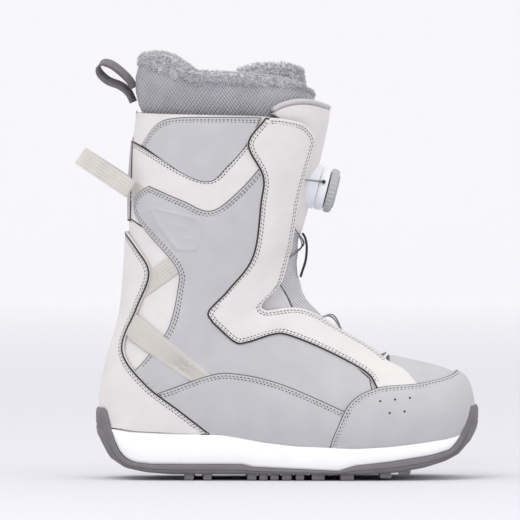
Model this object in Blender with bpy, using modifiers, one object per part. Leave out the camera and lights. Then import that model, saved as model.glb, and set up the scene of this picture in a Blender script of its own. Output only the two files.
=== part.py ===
"""Snowboard boot for the right foot: laced soft shell, removable liner and a reel on the tongue.

Frame: +X to the toe, +Y to the medial side, +Z up; the origin is under the middle of the sole.
Lengths are written in millimetres and scaled to metres where a mesh is made.
"""
import math

import bmesh
import bpy
from mathutils import Matrix, Vector

MM = 0.001
GAP = 0.3                      # clearance between touching pieces

# ---- driving dimensions of the upper --------------------------------------------------------
# Each station is one section of the skin: its low or back end, its top or front end, its
# greatest half width, how far up that width lies (0 to 1) and the half width at its low end.
STATIONS = [
    ((138.8, 41.0), (138.8, 52.0), 7.0, 0.40, 5.0),
    ((136.3, 37.4), (137.0, 64.5), 20.0, 0.36, 18.0),
    ((129.0, 34.8), (132.0, 75.5), 32.0, 0.32, 30.0),
    ((115.0, 32.1), (120.0, 82.3), 42.0, 0.30, 40.0),
    ((95.0, 29.2), (103.0, 87.0), 47.0, 0.30, 45.0),
    ((72.0, 26.8), (88.0, 90.3), 49.0, 0.30, 46.5),
    ((45.0, 25.9), (75.0, 94.0), 48.5, 0.30, 45.5),
    ((15.0, 26.8), (60.0, 102.8), 46.5, 0.30, 42.5),
    ((-15.0, 29.8), (44.0, 113.2), 44.0, 0.30, 39.5),
    ((-45.0, 33.4), (30.0, 124.2), 42.0, 0.33, 37.5),
    ((-75.0, 36.4), (19.5, 135.0), 41.0, 0.36, 36.5),
    ((-100.0, 37.2), (13.5, 145.0), 40.5, 0.40, 34.5),
    ((-122.0, 38.2), (10.8, 154.0), 40.5, 0.42, 28.0),
    ((-135.5, 40.6), (10.0, 162.0), 40.5, 0.44, 14.0),
    ((-139.3, 52.0), (9.8, 168.0), 41.0, 0.45, 4.0),
    ((-137.8, 72.0), (10.1, 175.0), 41.5, 0.45, 3.0),
    ((-132.4, 96.0), (11.3, 183.0), 42.0, 0.46, 3.0),
    ((-124.8, 122.0), (14.0, 192.0), 43.0, 0.47, 3.0),
    ((-121.5, 150.0), (17.0, 203.0), 44.5, 0.48, 3.0),
    ((-119.8, 178.0), (20.0, 214.0), 46.0, 0.48, 3.0),
    ((-120.0, 205.0), (23.0, 227.0), 48.0, 0.48, 3.0),
    ((-119.2, 230.0), (26.5, 241.0), 50.0, 0.48, 3.0),
    ((-117.5, 254.0), (30.3, 257.0), 51.5, 0.48, 3.0),
    ((-115.0, 275.0), (34.0, 275.0), 52.5, 0.48, 3.0),
    ((-114.0, 292.0), (37.0, 292.0), 53.0, 0.48, 3.0),
]
TOE_SHIFT = 8.0                # how far the toe bends to the medial side
HALF_POINTS = 9                # points round each half of a section
LINER_OUTSIDE = 9.2            # liner's outer face, in from the skin
LINER_THICK = 5.0

# Layers of the shell: lowest and highest offset from the skin.
BASE_LAYER = (-2.4, 0.0)
TONGUE_LAYER = (-6.0, -2.7)
FIRST_LAYER = (0.3, 1.3)
SECOND_LAYER = (1.6, 2.8)
THIRD_LAYER = (3.1, 4.3)

# ---- lines that several pieces share, as side view points -----------------------------------
SOLE_TOP = [(-150, 54.4), (-143.4, 54.4), (-139.4, 49.5), (-138.4, 39.4), (-121, 37.4),
            (-95, 36.4), (-52, 35.4), (-19, 29.4), (6, 26.4), (52, 24.8), (78, 26.4),
            (103, 29.4), (122, 32.4), (137.2, 36.6), (140.6, 45), (144, 55.5), (150, 55.5)]
MIDSOLE_TOP = [(-139, 39), (-121, 37), (-95, 36), (-52, 35), (-19, 29), (6, 26), (52, 24.4),
               (78, 26), (103, 29), (122, 32), (137, 36)]
RUBBER_TOP = [(-139, 39), (-135, 25), (-127, 17), (-117, 13), (-104, 12), (-34, 12), (-27, 10),
              (39, 7), (51, 11), (78, 14), (110, 19), (127, 22.5), (134, 28), (137, 36)]
SHELL_TOP = [(-124, 281), (-95, 278.5), (-30, 277), (-4, 275), (10, 271.5), (17, 264)]
THROAT_LEG = [(17, 264), (18, 257), (13, 239), (7, 216), (3, 193), (-2, 168), (-6, 152),
              (-11, 144), (-19, 136), (-21, 131), (-17, 128.5)]
THROAT_FOOT = [(-17, 128.5), (4, 130), (20, 124), (35, 114), (61, 98), (76, 87)]
HEEL_EDGE = [(-59, 36.6), (-82, 54), (-106, 73), (-122.5, 98), (-112, 129), (-102.5, 157),
             (-112, 177), (-128, 199)]
SIDE_EDGE = [(-99, 66), (-60, 80), (-38, 81), (-5, 73), (42, 53), (66, 42)]
TOE_EDGE = [(32, 26.6), (36.5, 38), (48, 59), (68, 68.5), (100, 71), (124, 76.5), (133, 86)]
ANKLE_REAR = [(-118, 80), (-104, 96), (-90, 116), (-83, 145), (-84, 162), (-106, 189),
              (-115, 204), (-113, 217), (-104, 224)]
ANKLE_TOP = [(-104, 224), (-79, 213), (-58, 205.5), (-37, 221), (-16, 245)]
EYESTAY_REAR = [(-18, 276), (-31, 256), (-20.5, 232), (-22, 212), (-28, 172), (-46, 146),
                (-61, 129), (-58, 120)]
EYESTAY_LOW = [(-58, 120), (-41, 104.5), (-31, 104), (-12, 109.5), (0, 108.5), (28, 96.5),
               (58, 80), (68, 60)]
COLLAR_EDGE = [(-20, 276), (-52, 276.3), (-85, 275.5), (-99, 270), (-110, 255)]
BAND_TOP = [(-110, 255), (-79, 236), (-59, 230), (-46, 241), (-32, 257), (-20, 276)]
TONGUE_REAR = [(3.8, 188), (7.8, 216), (13.8, 239), (19, 257), (18.5, 264.5)]
TONGUE_TOP = [(-11, 278.4), (-4, 282.5), (8, 285.5), (22, 285), (40, 280)]
TONGUE_SPLIT = 186.5           # height of the seam between tongue shield and lower tongue
LINER_THROAT = [(24, 126), (-4, 132), (-14, 150), (-14, 340), (60, 340), (60, 126)]
LINER_THROAT_HALF = 16.5
LINER_TONGUE_HALF = 14.8
LINER_MIDDLE = 1.4             # how far the liner's middle line lies to the medial side
# Above the shell the liner swells out again: height, back end, front end and half width.
LINER_ABOVE_SHELL = [(276, -107.0, 23.6, 43.2), (287, -113.4, 20.5, 47.0), (303, -115.5, 17.0, 48.0),
                     (319, -113.0, 14.5, 47.0), (333, -107.5, 11.0, 44.0)]
KNIT_TOP = [(-125, 322), (-109, 318), (-87, 308), (-70, 303), (-10, 302), (6, 299), (17, 288),
            (40, 286)]
FUR_TOP = [(-125, 326), (-104, 328), (-90, 325), (-70, 313), (-30, 311.5), (0, 308),
           (17, 297), (40, 290)]

# ---- sole and tread --------------------------------------------------------------------------
RUBBER_MARGIN = 7.0            # how far the rubber stands out beyond the upper's low edge
FOAM_MARGIN = 5.2
# Back and front end of each lug that stands on the ground.
LUGS = [(-78.5, -71.5), (-64.5, -58.5), (-31, -24.5), (-21.5, -15.5), (-12.5, -6.5), (-3.5, 3.5),
        (6.5, 12.5), (18, 27.5), (39.5, 49.5)]
LUG_SLOPE = 0.8
TOE_SPRING = [(147, 33), (141, 25.5), (131, 18.5), (120, 13), (104, 8.5)]
TOE_TREAD = [(94.5, 7.6), (93.5, 4.2), (84.5, 4.2), (83.5, 6.6), (79.5, 6), (78.5, 1.6), (70, 1.6),
             (69, 4.5)]
HEEL_CURVE = [(-88, 5), (-108, 6), (-124, 9), (-137, 16), (-144, 27), (-147.5, 40),
              (-147.5, 53.6), (-143.8, 53.6), (-140, 49)]
TOE_LIP = [(139.4, 40), (141, 47), (144.8, 55), (149, 55), (149, 40)]
GROOVE_FLOOR = 4.5             # height of the rubber between the lugs
GROOVE_LINES = (-30, -10, 12, 33)
GROOVE_WAVE = [(-112, 0), (-60, 2), (0, -2), (50, 2), (100, 5)]
GROOVE_WIDTH = 3.5

# ---- pull strap behind the cuff --------------------------------------------------------------
STRAP_LEAN = math.radians(33.5)
STRAP_ROOT = Vector((-119.0, 0, 221.0))
STRAP_REACH = (0.0, 18.0, 36.0, 45.5, 48.0)
STRAP_SPREAD = (31.0, 25.0, 15.0, 7.0, 0.0)
STRAP_HALF = 7.2
STRAP_THICK = 1.2

# ---- reel on the tongue ----------------------------------------------------------------------
REEL_FOOT = Vector((21.3, 0.9, 223.2))        # where the reel's axis meets the tongue
REEL_TILT = math.radians(14.3)                # how far its axis points below the horizontal
REEL_RADIUS = 16.4
KNOB_RADIUS = 17.0
KNOB_RIBS = 18
KNOB_TRAVEL = 2.2

# ---- lace ------------------------------------------------------------------------------------
LACE_RADIUS = 0.55
LACE_CHANNEL = 1.0             # radius of the channel through each guide
# One side of the route, from the toe guide up to the reel: x, z, side (-1 lateral), offset.
LACE_ROUTE = [
    (70.0, 92.5, -1, 1.6), (60.0, 97.6, -1, 1.4), (48.0, 104.0, -1, 1.4), (42.0, 109.6, -1, 1.9),
    "instep crossing",
    (20.5, 121.0, 1, 1.65), (8.0, 125.0, 1, 1.4), (-8.0, 123.5, 1, 1.4), (-22.0, 124.5, 1, 1.4),
    (-27.0, 132.0, 1, 1.4), (-21.0, 143.0, 1, 1.4), (-12.0, 155.0, 1, 1.4), (-5.0, 164.5, 1, 1.4),
    (1.5, 170.0, 1, 1.2),
    "tongue crossing",
    (6.0, 189.5, -1, 1.2), (1.0, 197.0, -1, 1.4), (-1.5, 207.0, -1, 1.4), (0.5, 218.0, -1, 1.4),
    (6.0, 225.5, -1, 1.4), (12.0, 228.6, -1, 1.6),
]

PARTS = "snowboard_boot"
CUTTERS = "cutters"


# ---- scene and materials ---------------------------------------------------------------------
def clear_scene():
    for item in list(bpy.data.objects):
        bpy.data.objects.remove(item)
    for name in (PARTS, CUTTERS):
        collection = bpy.data.collections.new(name)
        bpy.context.scene.collection.children.link(collection)


def make_material(name, colour, roughness, metallic=0.0):
    material = bpy.data.materials.new(name)
    material.use_nodes = True
    shader = material.node_tree.nodes["Principled BSDF"]
    shader.inputs["Base Color"].default_value = (*colour, 1.0)
    shader.inputs["Roughness"].default_value = roughness
    shader.inputs["Metallic"].default_value = metallic
    return material


def make_object(name, mesh, material=None):
    """An object in the parts collection, or in the cutters collection without a material."""
    item = bpy.data.objects.new(name, mesh)
    bpy.data.collections[PARTS if material else CUTTERS].objects.link(item)
    if material:
        mesh.materials.clear()
        mesh.materials.append(material)
    else:
        item.hide_render = True
        item.display_type = "WIRE"
    return item


def boolean(item, cutter, operation, folds=False):
    """Cut or keep; folds is for a wall whose inner face folds over itself in a tight corner."""
    modifier = item.modifiers.new(operation.title(), "BOOLEAN")
    modifier.operation = operation
    modifier.solver = "EXACT"
    modifier.use_self = folds
    modifier.object = cutter


def new_mesh(name, points, faces):
    mesh = bpy.data.meshes.new(name)
    mesh.from_pydata([Vector(point) * MM for point in points], [], faces)
    tidy_normals(mesh)
    return mesh


def tidy_normals(mesh, weld=0.0):
    work = bmesh.new()
    work.from_mesh(mesh)
    if weld:
        bmesh.ops.remove_doubles(work, verts=work.verts, dist=weld)
    bmesh.ops.recalc_face_normals(work, faces=work.faces)
    work.to_mesh(mesh)
    work.free()


# ---- the skin: a fan of sections from the toe, round the heel and up the leg -----------------
def catmull(a, b, c, d, t):
    """Point between b and c on the smooth curve through four points."""
    return b + 0.5 * t * (c - a + t * (2 * a - 5 * b + 4 * c - d + t * (3 * (b - c) + d - a)))


def smooth(points, steps=2):
    """Points on a smooth curve through the given ones."""
    points = [Vector(point) for point in points]
    ends = [2 * points[0] - points[1]] + points + [2 * points[-1] - points[-2]]
    curve = []
    for k in range(len(points) - 1):
        curve += [catmull(*ends[k:k + 4], j / steps) for j in range(steps)]
    return [tuple(point) for point in curve] + [tuple(points[-1])]


def grown(outline, distance):
    """A closed outline moved outward by a distance, corner by corner."""
    area = sum(a[0] * b[1] - b[0] * a[1] for a, b in zip(outline, outline[1:] + outline[:1]))
    turn = 1 if area > 0 else -1
    result = []
    for k, point in enumerate(outline):
        into = (Vector(point) - Vector(outline[k - 1])).normalized()
        out = (Vector(outline[(k + 1) % len(outline)]) - Vector(point)).normalized()
        normal = Vector((into.y + out.y, -into.x - out.x)) * turn
        normal.normalize()
        spread = max(0.6, abs(normal.dot(Vector((into.y, -into.x)))))
        result.append(tuple(Vector(point) + normal * distance / spread))
    return result


def centre_shift(x):
    """How far the boot's middle line lies to the medial side at a length x."""
    t = min(1.0, max(0.0, (x + 50) / 190))
    return TOE_SHIFT * t * t * (3 - 2 * t)


def half_width(station, part):
    """Half width of a section at a part (0 to 1) of the way from its low to its top end."""
    _, _, widest, widest_at, low_width = station
    if part < widest_at:
        drop = (widest_at - part) / widest_at
        return widest * math.sqrt(1 - (1 - (low_width / widest) ** 2) * drop ** 2)
    rise = (part - widest_at) / (1 - widest_at)
    return widest * math.sqrt(max(0.0, 1 - rise ** 2))


def section_point(station, around):
    """Skin point: around runs 0 to 1 up the lateral side and 1 to 2 down the medial side."""
    low, top = Vector(station[0]), Vector(station[1])
    part = (1 - math.cos(math.pi * around)) / 2
    place = low.lerp(top, part)
    side = -1 if around <= 1 else 1
    shift = centre_shift((low.x + top.x) / 2)
    return Vector((place.x, shift + side * half_width(station, part), place.y))


def station_at(s):
    """Section at a running number s, between the stations on a smooth curve."""
    k = min(len(STATIONS) - 2, max(0, int(s)))
    picks = [STATIONS[min(len(STATIONS) - 1, max(0, j))] for j in range(k - 1, k + 3)]
    t = s - k
    ends = [tuple(catmull(*[Vector(pick[e]) for pick in picks], t)) for e in (0, 1)]
    return (*ends, *[catmull(*[pick[e] for pick in picks], t) for e in (2, 3, 4)])


def skin_at(x, z, side, offset):
    """Point on one side of the skin that a side view shows at x, z, moved out by an offset."""
    def miss(s):
        low, top = station_at(s)[:2]
        return (top[0] - low[0]) * (z - low[1]) - (top[1] - low[1]) * (x - low[0])
    steps = [j / 4 for j in range(4 * (len(STATIONS) - 1) + 1)]
    low, high = next((a, b) for a, b in zip(steps[4:], steps[5:]) if miss(a) * miss(b) <= 0)
    for _ in range(30):
        middle = (low + high) / 2
        low, high = (middle, high) if miss(low) * miss(middle) > 0 else (low, middle)
    station = station_at(low)
    start, end = Vector(station[0]), Vector(station[1])
    part = (Vector((x, z)) - start).dot(end - start) / (end - start).length_squared
    part = min(0.999, max(0.001, part))
    around = math.acos(1 - 2 * part) / math.pi
    around = around if side < 0 else 2 - around
    return offset_point(low, around, offset)


def offset_point(s, around, offset):
    """Skin point at a running section number, moved out along the skin's normal."""
    along = section_point(station_at(s + 0.02), around) - section_point(station_at(s - 0.02), around)
    across = section_point(station_at(s), around + 0.01) - section_point(station_at(s), around - 0.01)
    normal = across.cross(along).normalized()
    place = section_point(station_at(s), around)
    middle = (section_point(station_at(s), 0) + section_point(station_at(s), 1)) / 2
    if normal.dot(place - middle) < 0:
        normal.negate()
    return place + normal * offset


def skin_rings(stations):
    turns = [k / HALF_POINTS for k in range(2 * HALF_POINTS + 1)]
    return [[section_point(station, turn) for turn in turns] for station in stations]


def ring_faces(rings, base=0, flip=False):
    """Faces of a tube of rings whose first ring, the toe end, is closed by a flat face."""
    count = len(rings[0])
    faces = [list(range(base, base + count))]
    for r in range(len(rings) - 1):
        for k in range(count):
            a, b = base + r * count + k, base + r * count + (k + 1) % count
            faces.append([b, a, a + count])
            faces.append([b, a + count, b + count])
    return [face[::-1] for face in faces] if flip else faces


def cup_mesh(name, outer, inner):
    """A closed wall between two sets of rings, open only at the top of the leg."""
    count = len(outer[0])
    base = len(outer) * count
    faces = ring_faces(outer) + ring_faces(inner, base, flip=True)
    last_out, last_in = base - count, base + (len(inner) - 1) * count
    for k in range(count):
        j = (k + 1) % count
        faces.append([last_out + j, last_out + k, last_in + k, last_in + j])
    return new_mesh(name, [point for ring in outer + inner for point in ring], faces)


def offset_rings(offset):
    """The skin's rings moved out along the skin's own normals."""
    rings = skin_rings(STATIONS)
    count = len(rings[0])
    work = bpy.data.meshes.new("skin")
    work.from_pydata([point for ring in rings for point in ring], [], ring_faces(rings))
    tidy_normals(work)
    points = [vertex.co + vertex.normal * offset for vertex in work.vertices]
    bpy.data.meshes.remove(work)
    return [points[r * count:(r + 1) * count] for r in range(len(rings))]


def layer_mesh(layer):
    name = "layer %.1f" % layer[0]
    if name not in bpy.data.meshes:
        cup_mesh(name, offset_rings(layer[1]), offset_rings(layer[0]))
    return bpy.data.meshes[name].copy()


def inset_stations(depth, floor):
    """Sections of a smaller boot inside the skin: depth in from its sides, floor up from below."""
    stations = []
    toe_length = 132.0
    shrink = (toe_length + 1.8 - depth) / toe_length
    for low, top, widest, widest_at, low_width in STATIONS[2:]:
        axis = (Vector(top) - Vector(low)).normalized()
        foot = max(0.0, min(1.0, (60 - low[1]) / 12))    # 1 in the foot, 0 up the leg
        start = Vector(low) + axis * (depth * (1 - foot) + floor * foot)
        end = Vector(top) - axis * depth
        start.x *= shrink if start.x > 0 else 1.0
        end.x *= shrink if end.x > 40 else 1.0
        stations.append((tuple(start), tuple(end), widest - depth, widest_at,
                         max(2.5, low_width - depth)))
    return stations


def liner_stations(wall):
    """Sections of the liner; wall is how far in from the liner's outer face they lie."""
    stations = inset_stations(LINER_OUTSIDE + wall, LINER_OUTSIDE + wall + 1.0)[:-2]
    for height, back, front, wide in LINER_ABOVE_SHELL:
        stations.append(((back + wall, height), (front - wall, height), wide - wall, 0.48, 3.0))
    return stations


# ---- cutters and panels ----------------------------------------------------------------------
def prism_mesh(name, edge, y_from, y_to, plan=False):
    """A flat outline given thickness: side view outlines along Y, plan outlines along Z."""
    curve = bpy.data.curves.new(name, "CURVE")
    curve.dimensions = "2D"
    curve.fill_mode = "BOTH"
    curve.extrude = abs(y_to - y_from) / 2 * MM
    spline = curve.splines.new("POLY")
    spline.points.add(len(edge) - 1)
    spline.use_cyclic_u = True
    for point, (a, b) in zip(spline.points, edge):
        point.co = (a * MM, b * MM, 0, 1)
    item = bpy.data.objects.new(name, curve)
    bpy.context.scene.collection.objects.link(item)
    middle = (y_from + y_to) / 2 * MM
    if plan:
        item.matrix_world = Matrix.Translation((0, 0, middle))
    else:
        item.matrix_world = Matrix.Translation((0, middle, 0)) @ Matrix.Rotation(math.pi / 2, 4, "X")
    bpy.context.view_layer.update()
    graph = bpy.context.evaluated_depsgraph_get()
    mesh = bpy.data.meshes.new_from_object(item.evaluated_get(graph))
    mesh.transform(item.matrix_world)
    bpy.data.objects.remove(item)
    tidy_normals(mesh, weld=1e-6)
    return mesh


SIDES = {"lateral": (-90, -0.15), "medial": (0.15, 90), "both": (-90, 90)}


def prism(edge, side="both", span=None):
    """A cutter from a side view edge: on one side of the boot or across a span of Y."""
    low, high = span or SIDES[side]
    return make_object("outline cutter", prism_mesh("outline cutter", edge, low, high))


def panel(name, edge, layer, side, material, trims=()):
    """One piece of a layer: what lies inside its edge, less a margin round what it meets."""
    item = make_object(name, layer_mesh(layer), material)
    boolean(item, prism(edge, side), "INTERSECT", folds=layer == BASE_LAYER)
    for trim in trims:
        boolean(item, prism(grown(trim, 0.5)), "DIFFERENCE")
    return item


def sole_line(x_from, x_to):
    """Low edge of the overlays just above the sole, between two lengths, in that order."""
    low, high = min(x_from, x_to), max(x_from, x_to)
    inside = [(x, z + 0.8) for x, z in SOLE_TOP if low <= x <= high]
    return inside if x_from < x_to else inside[::-1]


def outline(*stretches):
    """A closed outline from stretches; a stretch in a list is smoothed, one in a tuple is not."""
    points = []
    for stretch in stretches:
        bend = isinstance(stretch, list) and len(stretch) > 2
        for point in smooth(stretch) if bend else list(stretch):
            if not points or (Vector(point) - Vector(points[-1])).length > 0.05:
                points.append(tuple(point))
    return points if (Vector(points[0]) - Vector(points[-1])).length > 0.05 else points[:-1]


def shifted(points, dx, dz=0.0):
    return [(x + dx, z + dz) for x, z in points]


def toe_outline():
    return outline(TOE_EDGE, ((150, 86), (150, 55.5)), tuple(sole_line(150, 33)))


def heel_outline():
    return outline(tuple(sole_line(-150, -62)), HEEL_EDGE, ((-150, 199),))


def side_outline():
    return outline(SIDE_EDGE, tuple(sole_line(64, -59)), ((-72, 44), (-99, 64)))


def ankle_outline():
    return outline(ANKLE_REAR, ANKLE_TOP, [(-16, 245), (-10, 215), (-17, 165), (-34, 138),
                                           (-44, 125), (-34, 113), (0, 114), (30, 102), (62, 76)],
                   ((66, 60), (66, 43)), shifted(SIDE_EDGE, 0.4, 0.7)[::-1])


# ---- sole ------------------------------------------------------------------------------------
def plan_outline(margin):
    """The sole's plan outline: the upper's low edge moved out by a margin."""
    picks = STATIONS[:15]
    lateral = [(low[0], centre_shift(low[0]) - width) for low, _, _, _, width in picks]
    medial = [(low[0], centre_shift(low[0]) + width) for low, _, _, _, width in picks]
    return grown(lateral + medial[::-1], margin)


def plan_band(name, band, margin, material):
    """A piece of the sole: a side view band inside a plan outline."""
    item = make_object(name, prism_mesh(name, band, -80, 80), material)
    cutter = make_object("plan cutter", prism_mesh("plan cutter", plan_outline(margin), -10, 90, True))
    boolean(item, cutter, "INTERSECT")
    return item


def ground_line():
    """The rubber's low edge from the toe back to the heel, with a tooth for each lug."""
    points = TOE_SPRING + TOE_TREAD
    for back, front in LUGS[::-1]:
        points = points + [(front + LUG_SLOPE, GROOVE_FLOOR), (front, 0.0), (back, 0.0),
                           (back - LUG_SLOPE, GROOVE_FLOOR)]
    return points + HEEL_CURVE


def cut_grooves(outsole):
    """Wavy grooves along the tread."""
    for y in GROOVE_LINES:
        near = [(x, y + shift) for x, shift in GROOVE_WAVE]
        far = [(x, y + shift + GROOVE_WIDTH) for x, shift in GROOVE_WAVE]
        groove = prism_mesh("groove cutter", near + far[::-1], -5, GROOVE_FLOOR - 0.2, plan=True)
        boolean(outsole, make_object("groove cutter", groove), "DIFFERENCE")


def build_sole(finish):
    rubber = ground_line() + RUBBER_TOP + TOE_LIP
    outsole = plan_band("outsole", grown(rubber, -0.2), RUBBER_MARGIN, finish["rubber"])
    cut_grooves(outsole)
    foam = MIDSOLE_TOP + RUBBER_TOP[1:-1][::-1]
    plan_band("midsole", grown(foam, -0.2), FOAM_MARGIN, finish["foam"])
    board_low = [(x, z + 4.0) for x, z in MIDSOLE_TOP[1:-1]]
    board = board_low + [(x, z + 1.9) for x, z in board_low[::-1]]
    plan_band("lasting_board", board, -6.0, finish["board"])


# ---- shell -----------------------------------------------------------------------------------
def build_base(finish):
    body = outline(tuple(SOLE_TOP), ((150, 95), (90, 100), (76, 96)), THROAT_FOOT[::-1],
                   THROAT_LEG[::-1], tuple(SHELL_TOP[::-1]), ((-150, 281),))
    for side in ("lateral", "medial"):
        panel("base_shell_" + side, body, BASE_LAYER, side, finish["lining"])
    vamp = outline([(46, 26.2), (50, 55), (62, 76), (77, 88)], ((77, 110), (150, 110), (150, 55.5)),
                   tuple(sole_line(150, 48)))
    panel("vamp", vamp, FIRST_LAYER, "both", finish["grey"])
    panel("toe_cap", toe_outline(), THIRD_LAYER, "both", finish["grey"])
    panel("heel_counter", heel_outline(), THIRD_LAYER, "both", finish["beige"])


def build_quarters(finish):
    rear = outline(tuple(SHELL_TOP[:3]), ((-20, 276.6), (-34, 256), (-48, 238), (-58, 200),
                   (-75, 160), (-80, 120), (-100, 90)), ((-113, 90), (-128, 112), (-150, 112),
                   (-150, 281)))
    collar = outline(COLLAR_EDGE, BAND_TOP)
    eyestay = outline(EYESTAY_REAR, EYESTAY_LOW, ((68, 60), (98, 70)), ((98, 73), (88, 81), (76, 87)),
                      THROAT_FOOT[::-1], THROAT_LEG[::-1], ((10, 271.5), (-4, 275)))
    for side in ("lateral", "medial"):
        panel("rear_quarter_" + side, rear, FIRST_LAYER, side, finish["beige"])
        panel("collar_panel_" + side, collar, SECOND_LAYER, side, finish["grey"])
        panel("ankle_quarter_" + side, ankle_outline(), SECOND_LAYER, side, finish["grey"])
        panel("side_panel_" + side, side_outline(), SECOND_LAYER, side, finish["grey"])
        panel("eyestay_" + side, eyestay, THIRD_LAYER, side, finish["beige"], [toe_outline()])
    stay = outline(((-150, 200.5), (-120.5, 200.5), (-119.4, 240), (-119, 257), (-150, 257)))
    panel("back_stay", stay, SECOND_LAYER, "both", finish["grey"])
    badge = [(-106, 212), (-94, 216.5), (-78, 210), (-72, 204), (-70.5, 178), (-84, 175), (-100, 190)]
    badge_layer = (THIRD_LAYER[0], THIRD_LAYER[0] + 0.7)
    panel("ankle_badge", outline(tuple(badge)), badge_layer, "lateral", finish["grey"])


def build_webbing(finish):
    """Straps that run under the ankle quarter and on to the heel and the arch."""
    bands = {
        "arch_webbing": ((-105, 119), (-122, 109), (-73, 75), (-57, 79)),
        "ankle_webbing": ((-86, 173.5), (-72, 175), (-72, 163), (-104, 141), (-118, 132), (-112, 152)),
        "cuff_webbing": ((-100, 219), (-108, 206), (-117.6, 214), (-114.8, 226.5)),
    }
    layers = {"arch_webbing": THIRD_LAYER}
    trims = {"arch_webbing": [heel_outline(), side_outline()], "ankle_webbing": [ankle_outline()],
             "cuff_webbing": [ankle_outline()]}
    for name, band in bands.items():
        for side in ("lateral", "medial"):
            panel(name + "_" + side, outline(band), layers.get(name, SECOND_LAYER), side,
                  finish["webbing"], trims[name])


def band_path(name, centre_line, thickness, y_from, y_to, material):
    """A strap bent in the side view: a line given a thickness and a width along Y."""
    line = [Vector(point) for point in centre_line]
    near, far = [], []
    for k, point in enumerate(line):
        along = (line[min(k + 1, len(line) - 1)] - line[max(k - 1, 0)]).normalized()
        out = Vector((-along.y, along.x)) * thickness / 2
        near.append(tuple(point + out))
        far.append(tuple(point - out))
    return make_object(name, prism_mesh(name, near + far[::-1], y_from, y_to), material)


def build_rear_strap(finish):
    """Pull strap: a flat loop behind the cuff that leans up and back."""
    one_leg = list(zip(STRAP_REACH, STRAP_SPREAD))
    outer = [(reach, -width) for reach, width in one_leg] + one_leg[-2::-1]
    inner = []
    for reach, width in outer:
        at_bend = reach > 43
        near_root = abs(width) > 20
        inside_reach = max(0.0, reach - STRAP_THICK * (1.0 if at_bend else 0.4))
        inner.append((inside_reach, width * (0.955 if near_root else 0.9)))
    mesh = prism_mesh("rear_pull_strap", outer + inner[::-1], -STRAP_HALF, STRAP_HALF, plan=True)
    turn = Matrix.Rotation(math.pi, 4, "Z") @ Matrix.Rotation(-STRAP_LEAN, 4, "Y")
    mesh.transform(Matrix.Translation(STRAP_ROOT * MM) @ turn)
    tidy_normals(mesh)
    make_object("rear_pull_strap", mesh, finish["webbing"])


# ---- tongue ----------------------------------------------------------------------------------
def build_tongue(finish):
    shield = outline(TONGUE_REAR, ((11, 273.2), (-3, 277.4)), TONGUE_TOP,
                     ((60, 280), (60, TONGUE_SPLIT), (3.8, TONGUE_SPLIT)))
    panel("tongue_shield", shield, TONGUE_LAYER, "both", finish["beige"])
    lower = outline([(3.7, TONGUE_SPLIT - 0.5), (-1.2, 168), (-5.0, 153.5), (2.5, 140), (6.3, 131.5)],
                    [(6.3, 131.5), (21, 124.9), (36, 115.2), (61.5, 99)],
                    ((64.5, 97.6), (70, 110), (60, TONGUE_SPLIT - 0.5)))
    panel("tongue_lower", lower, TONGUE_LAYER, "both", finish["mesh"])
    gusset = outline(((-5.0, 165), (-7.6, 153.3), (0.8, 139.6), (4.6, 131.0), (4.4, 127),
                      (-24, 124), (-25, 137), (-12, 152)))
    for side in ("lateral", "medial"):
        panel("gusset_" + side, gusset, TONGUE_LAYER, side, finish["mesh"])
    trim = outline([(x, z + 0.5) for x, z in TONGUE_TOP], [(x, z + 3.2) for x, z in TONGUE_TOP][::-1])
    panel("tongue_binding", trim, TONGUE_LAYER, "both", finish["pink"])
    loop = [(11.4, 187.6), (13.6, 184.0), (14.8, 177), (14.0, 167), (11.4, 158.5), (10.0, 154.0)]
    band_path("tongue_loop", loop, 1.1, -6.5, 6.5, finish["black"])


# ---- reel ------------------------------------------------------------------------------------
def reel_frame():
    """Frame of the reel: its local Z points forward and down, out of the tongue."""
    turn = Matrix.Rotation(math.pi / 2 + REEL_TILT, 4, "Y")
    return Matrix.Translation(REEL_FOOT * MM) @ turn


def turned(name, profile, material, steps=32):
    """A turned piece on the reel's axis from an outer-side profile of (radius, height) points."""
    mesh = bpy.data.meshes.new(name)
    edges = [(k, k + 1) for k in range(len(profile) - 1)]
    edges.append((len(profile) - 1, 0))
    mesh.from_pydata([(radius * MM, 0, height * MM) for radius, height in profile], edges, [])
    item = make_object(name, mesh, material)
    item.matrix_world = reel_frame()
    screw = item.modifiers.new("Screw", "SCREW")
    screw.steps = steps
    screw.render_steps = steps
    screw.use_merge_vertices = True
    screw.merge_threshold = 0.00001
    return item


def lace_exits():
    """Two slots through the housing's wall, where the lace goes in."""
    mesh = bpy.data.meshes.new("lace exits")
    work = bmesh.new()
    box = Matrix.Diagonal((3.4 * MM, 60 * MM, 3.0 * MM, 1.0))
    bmesh.ops.create_cube(work, matrix=Matrix.Translation((-5.2 * MM, 0, 5.2 * MM)) @ box)
    work.to_mesh(mesh)
    work.free()
    mesh.transform(reel_frame())
    return make_object("lace exits", mesh)


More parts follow.
